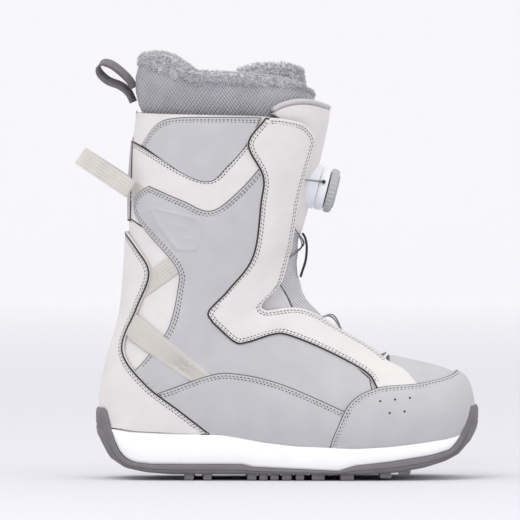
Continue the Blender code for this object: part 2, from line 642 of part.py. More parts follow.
def build_reel(finish):
    r = REEL_RADIUS
    base = turned("reel_base", [(r + 1.2, 2.0), (r + 1.2, -9.0), (4.0, -9.0), (4.0, 2.0)],
                  finish["white"])
    inside = make_object("tongue cutter", closed_body(TONGUE_LAYER[1] + GAP))
    boolean(base, inside, "DIFFERENCE")
    housing = turned("reel_housing", [(r, 9.0), (r, 2.3), (2.2, 2.3), (2.2, 3.6), (r - 1.6, 3.6),
                                      (r - 1.6, 9.0)], finish["white"])
    boolean(housing, lace_exits(), "DIFFERENCE")
    turned("reel_spool", [(10.5, 8.0), (10.5, 7.2), (7.2, 6.7), (7.2, 4.7), (10.5, 4.6),
                          (10.5, 4.0), (2.6, 4.0), (2.6, 8.0)], finish["black"], 24)
    turned("reel_axle", [(1.9, 17.2), (1.9, 0.4), (0.7, 0.4), (0.7, 17.2)], finish["steel"], 16)
    turned("reel_bushing", [(3.6, 12.4), (3.6, 10.4), (2.3, 10.4), (2.3, 12.4)], finish["black"], 16)
    turned("reel_pawl_disc", [(14.2, 9.6), (14.2, 8.4), (4.0, 8.4), (4.0, 9.6)], finish["black"], 24)
    knob = ribbed_knob(finish["reel_grey"])
    knob.matrix_world = reel_frame()
    turned("reel_cap", [(11.6, 16.9), (13.4, 16.3), (13.4, 15.9), (2.5, 15.9), (2.5, 16.9)],
           finish["reel_grey"], 32)


def ribbed_knob(material):
    """Knob: a shallow cup with grip ribs round its rim."""
    count = KNOB_RIBS * 3
    levels = [(0.0, 9.9), (0.0, 13.6), (-2.2, 15.6), (-10.0, 15.6)]
    rings = []
    for drop, height in levels:
        ring = []
        for k in range(count):
            angle = math.tau * k / count
            rib = -0.9 if k % 3 == 0 and height < 15 else 0.0
            radius = KNOB_RADIUS + drop + rib
            ring.append(Vector((radius * math.cos(angle), radius * math.sin(angle), height)))
        rings.append(ring)
    for radius, height in ((4.0, 15.6), (4.0, 12.8), (14.9, 12.8), (14.9, 9.9)):
        rings.append([Vector((radius * math.cos(math.tau * k / count),
                              radius * math.sin(math.tau * k / count), height))
                      for k in range(count)])
    faces = []
    for a in range(len(rings)):
        b = (a + 1) % len(rings)
        for k in range(count):
            j = (k + 1) % count
            faces.append([a * count + k, a * count + j, b * count + j, b * count + k])
    mesh = new_mesh("reel_knob", [point for ring in rings for point in ring], faces)
    return make_object("reel_knob", mesh, material)


def closed_body(offset):
    """The whole boot as one solid, to cut the reel's foot to the tongue's shape."""
    rings = offset_rings(offset)
    faces = ring_faces(rings)
    count = len(rings[0])
    faces.append(list(range((len(rings) - 1) * count, len(rings) * count))[::-1])
    return new_mesh("body", [point for ring in rings for point in ring], faces)


# ---- lace and its guides ---------------------------------------------------------------------
def lace_points():
    """The lace's route: the toe guide, both crossings and the reel, the same on both sides."""
    crossings = {"instep crossing": (33.5, 123.6), "tongue crossing": (11.2, 178.0)}
    halves = []
    for turn in (1, -1):
        points = []
        for stop in LACE_ROUTE:
            if isinstance(stop, str):
                x, z = crossings[stop]
                lift = 1.8 if turn > 0 else 0.0
                base = (x + lift * 0.7, centre_shift(x), z + lift * 0.7)
                points.append(Vector(base))
            else:
                x, z, side, offset = stop
                points.append(skin_at(x, z, side * turn, offset))
        halves.append(points)
    toe = [Vector((75.6, centre_shift(75), 96.0))]
    ends = [reel_frame() @ Vector((-5.2 * MM, side * (REEL_RADIUS + 0.6) * MM, 5.2 * MM)) / MM
            for side in (-1, 1)]
    return [ends[0]] + halves[0][::-1] + toe + halves[1] + [ends[1]]


def tube_mesh(name, points, radius, resolution=2):
    curve = bpy.data.curves.new(name, "CURVE")
    curve.dimensions = "3D"
    curve.bevel_depth = radius * MM
    curve.bevel_resolution = resolution
    curve.use_fill_caps = True
    spline = curve.splines.new("POLY")
    spline.points.add(len(points) - 1)
    for target, point in zip(spline.points, points):
        target.co = (*(Vector(point) * MM), 1)
    item = bpy.data.objects.new(name, curve)
    bpy.context.scene.collection.objects.link(item)
    bpy.context.view_layer.update()
    graph = bpy.context.evaluated_depsgraph_get()
    mesh = bpy.data.meshes.new_from_object(item.evaluated_get(graph))
    bpy.data.objects.remove(item)
    tidy_normals(mesh, weld=1e-6)
    return mesh


def build_lace(finish):
    route = lace_points()
    make_object("lace", tube_mesh("lace", route, LACE_RADIUS, 1), finish["steel"])
    return make_object("lace channel", tube_mesh("lace channel", route, LACE_CHANNEL, 1))


GUIDES = {
    "upper_guide": ((-8, 222), (-2, 227), (4, 215), (2, 196), (-6, 196)),
    "ankle_guide": ((-14, 160), (-4, 169.5), (-3.2, 163), (-9.5, 150), (-19, 147)),
    "instep_guide": ((-29, 127), (-20, 129.2), (2, 128), (3, 119), (-10, 117), (-27, 119)),
    "front_guide": ((44, 107.6), (58, 99.4), (66, 93.6), (62, 88.5), (50, 95), (40, 102)),
}
GUIDE_LAYER = (0.3, 2.8)


def build_guides(finish, channel):
    for name, corners in GUIDES.items():
        for side in ("lateral", "medial"):
            guide = panel(name + "_" + side, outline(corners), GUIDE_LAYER, side, finish["black"],
                          [ankle_outline()] if name == "instep_guide" else ())
            boolean(guide, channel, "DIFFERENCE")


# ---- liner -----------------------------------------------------------------------------------
def build_liner(finish):
    def wall():
        outer = skin_rings(liner_stations(0.0))
        return cup_mesh("liner wall", outer, skin_rings(liner_stations(LINER_THICK)))

    body = ((-150, 20), (150, 20), (150, 120), (60, 280), *KNIT_TOP[::-1], (-150, 322))
    fur = tuple(FUR_TOP) + tuple((x, z + 0.5) for x, z in KNIT_TOP[::-1])
    tongue_fur = ((-40, 303), (40, 303), (40, 319), (8, 319), (-6, 321), (-40, 321))
    liner = make_object("liner_boot", wall(), finish["knit"])
    boolean(liner, prism(outline(body)), "INTERSECT")
    slot_half = LINER_THROAT_HALF + 0.6
    slot = prism(grown(LINER_THROAT, 0.6), span=(LINER_MIDDLE - slot_half, LINER_MIDDLE + slot_half))
    boolean(liner, slot, "DIFFERENCE")
    collar = make_object("liner_fur_collar", wall(), finish["fur"])
    boolean(collar, prism(outline(fur)), "INTERSECT")
    boolean(collar, slot, "DIFFERENCE")
    span = (LINER_MIDDLE - LINER_TONGUE_HALF, LINER_MIDDLE + LINER_TONGUE_HALF)
    for name, limits, material in (
            ("liner_tongue", ((-40, 100), (80, 100), (80, 302.4), (-40, 302.4)), finish["knit"]),
            ("liner_tongue_fur", tongue_fur, finish["fur"])):
        piece = make_object(name, wall(), material)
        boolean(piece, prism(LINER_THROAT, span=span), "INTERSECT")
        boolean(piece, prism(limits), "INTERSECT")
    loop = [(-117.2, 299.0), (-121.5, 305.5), (-128.0, 311.8), (-135.0, 316.8), (-141.0, 318.0),
            (-144.3, 314.5), (-143.0, 309.5), (-137.0, 304.2), (-128.0, 300.6), (-121.8, 295.6),
            (-117.8, 288.0)]
    band_path("liner_pull_loop", loop, 2.2, -10.5, 10.5, finish["webbing"])
    bed_low = [(x * 0.86, z + LINER_OUTSIDE + LINER_THICK + 3.2) for x, z in MIDSOLE_TOP[1:-1]]
    bed = bed_low + [(x, z + 3.5) for x, z in bed_low[::-1]]
    plan_band("footbed", bed, -21.0, finish["board"])


def main():
    clear_scene()
    finish = {
        "grey": make_material("grey synthetic", (0.30, 0.31, 0.32), 0.60),
        "beige": make_material("beige synthetic", (0.56, 0.52, 0.46), 0.60),
        "lining": make_material("black backing", (0.03, 0.03, 0.03), 0.80),
        "mesh": make_material("grey mesh", (0.26, 0.26, 0.27), 0.85),
        "pink": make_material("tongue binding", (0.42, 0.36, 0.35), 0.70),
        "webbing": make_material("cream webbing", (0.66, 0.62, 0.54), 0.85),
        "knit": make_material("grey knit", (0.30, 0.30, 0.31), 0.90),
        "fur": make_material("grey fleece", (0.52, 0.51, 0.50), 0.95),
        "foam": make_material("white foam", (0.80, 0.80, 0.79), 0.55),
        "rubber": make_material("taupe rubber", (0.22, 0.20, 0.19), 0.75),
        "board": make_material("black board", (0.05, 0.05, 0.05), 0.80),
        "black": make_material("black nylon", (0.02, 0.02, 0.02), 0.50),
        "white": make_material("white plastic", (0.78, 0.77, 0.74), 0.35),
        "reel_grey": make_material("grey rubber", (0.25, 0.25, 0.26), 0.60),
        "steel": make_material("steel cable", (0.55, 0.55, 0.56), 0.30, 1.0),
    }
    build_sole(finish)
    build_base(finish)
    build_quarters(finish)
    build_webbing(finish)
    build_rear_strap(finish)
    build_tongue(finish)
    build_reel(finish)
    channel = build_lace(finish)
    build_guides(finish, channel)
    build_liner(finish)


main()
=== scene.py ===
"""Looks of the snowboard boot: fine panels, stitching, webbing, fleece, reel, sole and materials."""
import math

import bmesh
import bpy
import numpy as np
from mathutils import Matrix, Vector
from mathutils.geometry import delaunay_2d_cdt


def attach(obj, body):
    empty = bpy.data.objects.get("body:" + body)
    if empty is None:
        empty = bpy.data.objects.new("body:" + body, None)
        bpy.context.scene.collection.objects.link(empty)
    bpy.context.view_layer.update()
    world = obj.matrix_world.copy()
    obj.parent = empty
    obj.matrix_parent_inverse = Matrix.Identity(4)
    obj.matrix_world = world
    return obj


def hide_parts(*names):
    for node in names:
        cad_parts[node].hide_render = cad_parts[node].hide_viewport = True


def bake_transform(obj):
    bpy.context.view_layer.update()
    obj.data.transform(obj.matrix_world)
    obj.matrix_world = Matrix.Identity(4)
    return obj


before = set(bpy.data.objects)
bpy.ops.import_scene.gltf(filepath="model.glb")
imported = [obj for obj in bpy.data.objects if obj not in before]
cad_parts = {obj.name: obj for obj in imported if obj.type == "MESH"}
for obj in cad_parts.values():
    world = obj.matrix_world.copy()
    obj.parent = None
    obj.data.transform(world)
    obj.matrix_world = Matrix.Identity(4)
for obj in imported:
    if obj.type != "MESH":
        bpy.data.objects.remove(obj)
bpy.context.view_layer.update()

MM = 0.001
PIECES = bpy.data.collections.new("boot_looks")
bpy.context.scene.collection.children.link(PIECES)

# Sections of the shell's skin, as in the frame: low or back end, top or front end (x, z),
# greatest half width, how far up it lies, half width at the low end. Millimetres.
STATIONS = [
    (138.8, 41.0, 138.8, 52.0, 7.0, 0.40, 5.0), (136.3, 37.4, 137.0, 64.5, 20.0, 0.36, 18.0),
    (129.0, 34.8, 132.0, 75.5, 32.0, 0.32, 30.0), (115.0, 32.1, 120.0, 82.3, 42.0, 0.30, 40.0),
    (95.0, 29.2, 103.0, 87.0, 47.0, 0.30, 45.0), (72.0, 26.8, 88.0, 90.3, 49.0, 0.30, 46.5),
    (45.0, 25.9, 75.0, 94.0, 48.5, 0.30, 45.5), (15.0, 26.8, 60.0, 102.8, 46.5, 0.30, 42.5),
    (-15.0, 29.8, 44.0, 113.2, 44.0, 0.30, 39.5), (-45.0, 33.4, 30.0, 124.2, 42.0, 0.33, 37.5),
    (-75.0, 36.4, 19.5, 135.0, 41.0, 0.36, 36.5), (-100.0, 37.2, 13.5, 145.0, 40.5, 0.40, 34.5),
    (-122.0, 38.2, 10.8, 154.0, 40.5, 0.42, 28.0), (-135.5, 40.6, 10.0, 162.0, 40.5, 0.44, 14.0),
    (-139.3, 52.0, 9.8, 168.0, 41.0, 0.45, 0.5), (-137.8, 72.0, 10.1, 175.0, 41.5, 0.45, 0.1),
    (-132.4, 96.0, 11.3, 183.0, 42.0, 0.46, 0.1), (-124.8, 122.0, 14.0, 192.0, 43.0, 0.47, 0.1),
    (-121.5, 150.0, 17.0, 203.0, 44.5, 0.48, 0.1), (-119.8, 178.0, 20.0, 214.0, 46.0, 0.48, 0.1),
    (-120.0, 205.0, 23.0, 227.0, 48.0, 0.48, 0.1), (-119.2, 230.0, 26.5, 241.0, 50.0, 0.48, 0.1),
    (-117.5, 254.0, 30.3, 257.0, 51.5, 0.48, 0.1), (-115.0, 275.0, 34.0, 275.0, 52.5, 0.48, 0.1),
    (-114.0, 292.0, 37.0, 292.0, 53.0, 0.48, 0.1),
]
TABLE = np.array(STATIONS)
TOE_SHIFT = 8.0

# Side view lines shared by the panels, as in the frame.
SOLE_TOP = [(-138.4, 39.4), (-121, 37.4), (-95, 36.4), (-52, 35.4), (-19, 29.4), (6, 26.4),
            (52, 24.8), (78, 26.4), (103, 29.4), (122, 32.4), (137.2, 36.6)]
MIDSOLE_TOP = [(-139, 39), (-121, 37), (-95, 36), (-52, 35), (-19, 29), (6, 26), (52, 24.4),
               (78, 26), (103, 29), (122, 32), (137, 36)]
THROAT_LEG = [(17, 264), (18, 257), (13, 239), (7, 216), (3, 193), (-2, 168), (-6, 152),
              (-11, 144), (-19, 136), (-21, 131), (-17, 128.5)]
THROAT_FOOT = [(-17, 128.5), (4, 130), (20, 124), (35, 114), (61, 98), (76, 87)]
HEEL_EDGE = [(-59, 36.6), (-82, 54), (-106, 73), (-122.5, 98), (-112, 129), (-102.5, 157),
             (-112, 177), (-128, 199)]
SIDE_EDGE = [(-99, 66), (-60, 80), (-38, 81), (-5, 73), (42, 53), (66, 42)]
TOE_EDGE = [(32, 26.6), (36.5, 38), (48, 59), (68, 68.5), (100, 71), (124, 76.5), (133, 86)]
ANKLE_REAR = [(-118, 80), (-104, 96), (-90, 116), (-83, 145), (-84, 162), (-106, 189),
              (-115, 204), (-113, 217), (-104, 224)]
ANKLE_TOP = [(-104, 224), (-79, 213), (-58, 205.5), (-37, 221), (-16, 245)]
EYESTAY_REAR = [(-18, 276), (-31, 256), (-20.5, 232), (-22, 212), (-28, 172), (-46, 146),
                (-61, 129), (-58, 120)]
EYESTAY_LOW = [(-58, 120), (-41, 104.5), (-31, 104), (-12, 109.5), (0, 108.5), (28, 96.5),
               (58, 80), (67, 68.5)]
COLLAR_EDGE = [(-20, 276), (-52, 276.3), (-85, 275.5), (-99, 270), (-110, 255)]
BAND_TOP = [(-120, 259.5), (-110, 254.6), (-79, 236), (-59, 230), (-46, 241), (-32, 257), (-24, 264)]
TONGUE_REAR = [(3.8, 188), (7.8, 216), (13.8, 239), (19, 257), (18.5, 264.5)]
TONGUE_TOP = [(-11, 278.4), (-4, 282.5), (8, 285.5), (22, 285), (40, 280)]
TONGUE_SPLIT = 186.5


# ---- skin ------------------------------------------------------------------------------------
def catmull(a, b, c, d, t):
    """A point between b and c on the smooth curve through four points."""
    return b + 0.5 * t * (c - a + t * (2 * a - 5 * b + 4 * c - d + t * (3 * (b - c) + d - a)))


def smooth(points, step=1.5):
    """Points about a step apart on a smooth curve through the given ones."""
    points = [np.array(point, float) for point in points]
    ends = [2 * points[0] - points[1]] + points + [2 * points[-1] - points[-2]]
    curve = []
    for k in range(len(points) - 1):
        count = max(1, round(np.linalg.norm(points[k + 1] - points[k]) / step))
        curve += [catmull(*ends[k:k + 4], j / count) for j in range(count)]
    return np.array(curve + [points[-1]])


def straight(points, step=1.5):
    """Points about a step apart on straight runs between the given ones."""
    curve = []
    for a, b in zip(points, points[1:]):
        a, b = np.array(a, float), np.array(b, float)
        count = max(1, round(np.linalg.norm(b - a) / step))
        curve += [a + (b - a) * j / count for j in range(count)]
    return np.array(curve + [np.array(points[-1], float)])


def joined(*paths):
    """Paths put end to end, without the points that repeat."""
    points = [paths[0][0]]
    for path in paths:
        points += [point for point in path if np.linalg.norm(point - points[-1]) > 0.3]
    return np.array(points)


def sections(s):
    """Smoothly blended stations at running numbers s."""
    s = np.clip(np.asarray(s, float), 0, len(TABLE) - 1.001)
    k = s.astype(int)
    picks = [TABLE[np.clip(k + j, 0, len(TABLE) - 1)] for j in (-1, 0, 1, 2)]
    return catmull(*picks, (s - k)[:, None])


def middle_shift(x):
    """How far the boot's middle line lies to the medial side at a length x."""
    t = np.clip((x + 50) / 190, 0, 1)
    return TOE_SHIFT * t ** 2 * (3 - 2 * t)


def skin(s, v):
    """Points on the skin; v is 0 to 1 up the lateral side and 1 to 2 down the medial side."""
    row = sections(s)
    v = np.asarray(v, float)
    part = (1 - np.cos(np.pi * v)) / 2
    side = np.where((v > 1) | (v < 0), 1.0, -1.0)
    low, top = row[:, 0:2], row[:, 2:4]
    widest, at, low_width = row[:, 4], row[:, 5], np.clip(row[:, 6], 0.05, None)
    ratio = np.clip(low_width / widest, 0, 1)
    below = np.sqrt(np.clip(1 - (1 - ratio ** 2) * ((at - part) / at) ** 2, 0, 1))
    above = np.sqrt(np.clip(1 - ((part - at) / (1 - at)) ** 2, 0, 1))
    half = widest * np.where(part < at, below, above)
    shift = middle_shift((low[:, 0] + top[:, 0]) / 2)
    place = low + (top - low) * part[:, None]
    return np.stack([place[:, 0], shift + side * half, place[:, 1]], axis=1)


def skin_frames(s, v):
    """Skin points, their normals, and the change of place along s and v."""
    s_step, v_step = 0.03, 0.004
    along = (skin(s + s_step, v) - skin(s - s_step, v)) / (2 * s_step)
    across = (skin(s, v + v_step) - skin(s, v - v_step)) / (2 * v_step)
    normal = np.cross(across, along)
    normal /= np.linalg.norm(normal, axis=1)[:, None] + 1e-12
    return skin(s, v), normal, along, across


def at_offset(sv, offset):
    """Points above the skin by an offset."""
    place, normal, _, _ = skin_frames(sv[:, 0], sv[:, 1])
    return place + normal * np.reshape(offset, (-1, 1))


def to_domain(path, medial=False):
    """Section number and turn (s, v) of side view points; outside ones stop at the silhouette."""
    path = np.asarray(path, float)
    fine = np.linspace(1.0, len(TABLE) - 1.01, 300)

    def miss(s, points):
        row = sections(s)
        return ((row[:, 2] - row[:, 0]) * (points[:, 1] - row[:, 1])
                - (row[:, 3] - row[:, 1]) * (points[:, 0] - row[:, 0]))

    result = []
    for point in path:
        score = miss(fine, np.repeat(point[None], len(fine), 0))
        change = np.nonzero(score[:-1] * score[1:] <= 0)[0]
        k = change[0] if len(change) else int(np.argmin(abs(score)))
        low, high = fine[k], fine[min(k + 1, len(fine) - 1)]
        a, b = score[k], score[min(k + 1, len(fine) - 1)]
        s = low + (high - low) * (a / (a - b) if a != b else 0)
        row = sections([s])[0]
        axis = row[2:4] - row[0:2]
        part = float(np.clip(np.dot(point - row[0:2], axis) / np.dot(axis, axis), 0, 1))
        v = math.acos(1 - 2 * part) / math.pi
        result.append((s, 2 - v if medial else v))
    return np.array(result)


def mirrored(path, about):
    """A lateral path from one silhouette point to another, with its medial mirror added."""
    back = path[::-1][1:-1].copy()
    back[:, 1] = 2 * about - back[:, 1]
    return np.concatenate([path, back])


MOST_S, MOST_V = 0.09, 0.022   # greatest change of s and v for each millimetre of inset


def inset(sv, distance, closed=True):
    """A path moved to its left on the skin by a distance."""
    place, normal, along, across = skin_frames(sv[:, 0], sv[:, 1])
    if closed:
        tangent = np.roll(place, -1, 0) - np.roll(place, 1, 0)
    else:
        tangent = np.gradient(place, axis=0)
    tangent /= np.linalg.norm(tangent, axis=1)[:, None] + 1e-9
    left = np.cross(normal, tangent) * distance
    a, b, c = (along ** 2).sum(1), (along * across).sum(1), (across ** 2).sum(1)
    p, q = (left * along).sum(1), (left * across).sum(1)
    det = np.clip(a * c - b * b, 1e-3, None)
    moved = sv.copy()
    reach = abs(distance)
    moved[:, 0] += np.clip((p * c - q * b) / det, -MOST_S * reach, MOST_S * reach)
    moved[:, 1] += np.clip((q * a - p * b) / det, -MOST_V * reach, MOST_V * reach)
    return moved


def left_turning(sv):
    """The closed path, reversed if need be so that its inside lies on the left on the skin."""
    def area(path):
        x, y = path[:, 0], path[:, 1] * 5
        return abs(np.dot(x, np.roll(y, -1)) - np.dot(y, np.roll(x, -1)))

    return sv if area(inset(sv, 1.0)) < area(sv) else sv[::-1].copy()


# ---- meshes ----------------------------------------------------------------------------------
def add_object(name, mesh, materials, smooth_shade=True):
    """A new piece of the looks from a mesh, with its materials."""
    item = bpy.data.objects.new(name, mesh)
    PIECES.objects.link(item)
    for material in materials:
        mesh.materials.append(material)
    if smooth_shade:
        mesh.shade_smooth()
    return item


def mesh_from(name, points, faces, slots=None):
    """A mesh from points in millimetres."""
    mesh = bpy.data.meshes.new(name)
    mesh.from_pydata((np.asarray(points) * MM).tolist(), [], faces)
    if slots is not None:
        mesh.polygons.foreach_set("material_index", slots)
    mesh.update()
    return mesh


def outward_mesh(name, points, faces, slots=None):
    """A mesh from points in millimetres, with its faces turned outward."""
    mesh = mesh_from(name, points, faces, slots)
    work = bmesh.new()
    work.from_mesh(mesh)
    bmesh.ops.recalc_face_normals(work, faces=work.faces)
    work.to_mesh(mesh)
    work.free()
    return mesh


def fit(item, body, cad=None):
    """Sets a piece's body, and hides the CAD node that it stands for."""
    if cad:
        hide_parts(cad)
    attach(item, body)


def inside(points, polygon):
    """Which points lie inside a polygon."""
    x, y = points[:, 0], points[:, 1]
    hit = np.zeros(len(points), bool)
    for (ax, ay), (bx, by) in zip(polygon, np.roll(polygon, -1, 0)):
        cross = (ay > y) != (by > y)
        hit ^= cross & (x < (bx - ax) * (y - ay) / (by - ay + 1e-12) + ax)
    return hit


def edge_distance(points, polygon):
    """Distance of points from a polygon's nearest side."""
    best = np.full(len(points), 1e9)
    for a, b in zip(polygon, np.roll(polygon, -1, 0)):
        side = b - a
        t = np.clip(((points - a) @ side) / (side @ side + 1e-12), 0, 1)
        best = np.minimum(best, np.linalg.norm(points - a - t[:, None] * side, axis=1))
    return best


PLAN_SCALE = np.array([24.0, 120.0])       # domain units to about one millimetre


FLAT_RIM = 1.9                 # how far in from the edge the top's free mesh starts
DARK_REACH = 4.0               # a rim this near the dark path is dark


def filled_plan(edge_loop, spacing):
    """Points and triangles that fill a loop in the plan, at about a spacing."""
    lowest, highest = edge_loop.min(0), edge_loop.max(0)
    xs = np.arange(lowest[0] + spacing / 2, highest[0], spacing)
    ys = np.arange(lowest[1] + spacing / 2, highest[1], spacing)
    grid = np.array([(x, y) for i, x in enumerate(xs) for y in ys + (spacing / 2 if i % 2 else 0)])
    grid = grid[inside(grid, edge_loop)]
    grid = grid[edge_distance(grid, edge_loop) > spacing * 0.45]
    flat = [Vector(point) for point in np.concatenate([edge_loop, grid])]
    edges = [(k, (k + 1) % len(edge_loop)) for k in range(len(edge_loop))]
    verts, _, tris, _, _, _ = delaunay_2d_cdt(flat, edges, [], 1, 1e-5)
    return np.array([tuple(vert) for vert in verts]), tris


def dark_rims(outline, dark_path):
    """Material slot of each rim part: 1 near the dark path or where there is none, else 0."""
    if dark_path is None:
        return np.ones(len(outline), int)
    gaps = outline[:, None, [0, 2]] - dark_path[None]
    return (np.linalg.norm(gaps, axis=2).min(1) < DARK_REACH).astype(int)


def panel(name, sv, low, top, materials, spacing=3.0, height=None, edge=0.45, dark_path=None):
    """A sheet on the skin: rounded rim, fine top and flat underside.

    Slot 0 is the top, slot 1 the rim and the underside. Off the dark path, if there is one, the rim
    is slot 0 too.
    """
    if np.allclose(sv[0], sv[-1], atol=1e-4):
        sv = sv[:-1]
    sv = left_turning(sv)
    rims = [(0.0, low), (0.0, top - 0.4), (0.25, top - 0.12), (edge, top), (FLAT_RIM, top)]
    loops = [inset(sv, distance) if distance else sv for distance, _ in rims]
    flat, tris = filled_plan(loops[-1] * PLAN_SCALE, spacing)
    body = flat / PLAN_SCALE
    lift = np.zeros(len(body))
    if height is not None:
        lift = height(body, edge_distance(flat, sv * PLAN_SCALE))
    rows = [at_offset(loop, level) for loop, (_, level) in zip(loops[:-1], rims)]
    points = np.concatenate(rows + [at_offset(body, top + lift), at_offset(body, low)])
    count = len(sv)
    start, under = 4 * count, 4 * count + len(body)
    rim_slot = dark_rims(rows[0], dark_path)
    faces, slots = [], []
    for r in range(4):
        for k in range(count):
            j = (k + 1) % count
            a, b = r * count, (r + 1) * count if r < 3 else start
            faces.append((a + k, a + j, b + j, b + k))
            slots.append(int(rim_slot[k]) if 1 <= r < 3 else 0)
    for k in range(count):
        j = (k + 1) % count
        faces.append((under + k, under + j, j, k))
        slots.append(int(rim_slot[k]))
    for tri in tris:
        faces.append(tuple(start + v for v in tri))
        faces.append(tuple(under + v for v in tri[::-1]))
        slots += [0, 1]
    return add_object(name, outward_mesh(name, points, faces, slots), materials)


SEAM_DISTANCE, SEAM_HALF, SEAM_DEPTH = 3.2, 1.3, 0.22


def crown(amount, reach=7.0):
    """Height map of a soft sheet that sinks to its seam and swells a little inside."""
    def height(_, distance):
        groove = np.exp(-((distance - SEAM_DISTANCE) / SEAM_HALF) ** 2) * SEAM_DEPTH
        return amount * (1 - np.exp(-(distance / reach) ** 2)) - groove
    return height


STITCH_PITCH = 2.9
STITCH_ROWS = (2.3, 4.0)       # distances of the two rows from the panel's edge
STITCH_LIFT = 0.02


def stitch_rows(name, sv, offset, sign):
    """Rows of thread along a path on the skin, with a dark bead of painted shade for the hole at each end
    of a stitch.
    """
    points, faces, slots = [], [], []
    for row in STITCH_ROWS:
        line = inset(sv, sign * row, closed=False)
        place, normal, _, _ = skin_frames(line[:, 0], line[:, 1])
        place = place + normal * offset
        steps = np.linalg.norm(np.diff(place, axis=0), axis=1)
        length = np.concatenate([[0], np.cumsum(steps)])
        holes = np.arange(STITCH_PITCH, length[-1] - 1.0, STITCH_PITCH)
        spots = np.stack([np.interp(holes, length, place[:, k]) for k in range(3)], 1)
        ups = np.stack([np.interp(holes, length, normal[:, k]) for k in range(3)], 1)
        for k in range(len(spots) - 1):
            along = spots[k + 1] - spots[k]
            along /= np.linalg.norm(along)
            across = np.cross(ups[k], along)
            # the wide flat dark bead at each hole is painted shade
            add_bead(points, faces, slots, spots[k], along * 0.62, across * 0.50, ups[k] * 0.20, 1)
            middle = (spots[k] + spots[k + 1]) / 2
            add_bead(points, faces, slots, middle, along * 0.85, across * 0.26, ups[k] * 0.26, 0)
    return add_object(name, mesh_from(name, points, faces, slots), THREAD)


def add_bead(points, faces, slots, middle, along, across, up, slot):
    """A small closed dome: six corners on the surface, one above and one below."""
    base = len(points)
    for k in range(6):
        angle = math.tau * k / 6
        points.append(middle + along * math.cos(angle) + across * math.sin(angle))
    points.append(middle + up)
    points.append(middle - up)
    for k in range(6):
        j = (k + 1) % 6
        faces.append((base + k, base + j, base + 6))
        faces.append((base + j, base + k, base + 7))
        slots += [slot, slot]


# ---- materials -------------------------------------------------------------------------------
def node(tree, kind, **inputs):
    """A new node with constant inputs; an underscore in a name stands for a space."""
    item = tree.nodes.new(kind)
    for key, value in inputs.items():
        item.inputs[key.replace("_", " ")].default_value = value
    return item


def grain_source(tree, coordinates, kind, scale, turn):
    """A height pattern: noise, cells, or waves along x or y."""
    mapping = node(tree, "ShaderNodeMapping", Rotation=(0, turn, 0))
    tree.links.new(coordinates, mapping.inputs["Vector"])
    if kind == "noise":
        item = node(tree, "ShaderNodeTexNoise", Scale=scale, Detail=3.0)
        result = item.outputs["Fac"]
    elif kind == "cells":
        item = node(tree, "ShaderNodeTexVoronoi", Scale=scale)
        result = item.outputs["Distance"]
    else:
        item = node(tree, "ShaderNodeTexWave", Scale=scale, Distortion=0.0)
        item.bands_direction = kind.upper()
        result = item.outputs["Fac"]
    tree.links.new(mapping.outputs["Vector"], item.inputs["Vector"])
    return result


def surface(name, colour, roughness, grains, tint=0.07, tint_scale=60.0, metallic=0.0, sheen=0.0,
            groove_shade=0.0):
    """Principled material with soft colour variation and layered bump grains.

    Each grain is (kind, scale, depth in millimetres, turn); groove_shade darkens the low parts of the first
    grain, painted shade in its grooves.
    """
    material = bpy.data.materials.new(name)
    material.use_nodes = True
    tree = material.node_tree
    shader = tree.nodes["Principled BSDF"]
    shader.inputs["Metallic"].default_value = metallic
    shader.inputs["Sheen Weight"].default_value = sheen
    shader.inputs["Specular IOR Level"].default_value = 0.35
    place = tree.nodes.new("ShaderNodeTexCoord").outputs["Object"]
    cloud = node(tree, "ShaderNodeTexNoise", Scale=tint_scale, Detail=4.0)
    tree.links.new(place, cloud.inputs["Vector"])
    ramp = tree.nodes.new("ShaderNodeValToRGB")
    ramp.color_ramp.elements[0].position = 0.3
    ramp.color_ramp.elements[1].position = 0.7
    ramp.color_ramp.elements[0].color = (*[c * (1 - tint) for c in colour], 1)
    ramp.color_ramp.elements[1].color = (*[min(1.0, c * (1 + tint * 0.5)) for c in colour], 1)
    tree.links.new(cloud.outputs["Fac"], ramp.inputs["Fac"])
    result = ramp.outputs["Color"]
    rough = node(tree, "ShaderNodeMapRange", To_Min=roughness - 0.08, To_Max=roughness + 0.08)
    tree.links.new(cloud.outputs["Fac"], rough.inputs["Value"])
    tree.links.new(rough.outputs["Result"], shader.inputs["Roughness"])
    last = None
    for kind, scale, depth, turn in grains:
        height = grain_source(tree, place, kind, scale, turn)
        bump = node(tree, "ShaderNodeBump", Strength=1.0, Distance=depth * MM)
        tree.links.new(height, bump.inputs["Height"])
        if last:
            tree.links.new(last, bump.inputs["Normal"])
        # painted shade: the low parts of the first grain are darkened, as in the grooves of a weave.
        elif groove_shade:
            dark = node(tree, "ShaderNodeMapRange", To_Min=1 - groove_shade, To_Max=1.0)
            tree.links.new(height, dark.inputs["Value"])
            scaled = tree.nodes.new("ShaderNodeVectorMath")
            scaled.operation = "SCALE"
            tree.links.new(result, scaled.inputs[0])
            tree.links.new(dark.outputs["Result"], scaled.inputs["Scale"])
            result = scaled.outputs["Vector"]
        last = bump.outputs["Normal"]
    if last:
        tree.links.new(last, shader.inputs["Normal"])
    tree.links.new(result, shader.inputs["Base Color"])
    return material


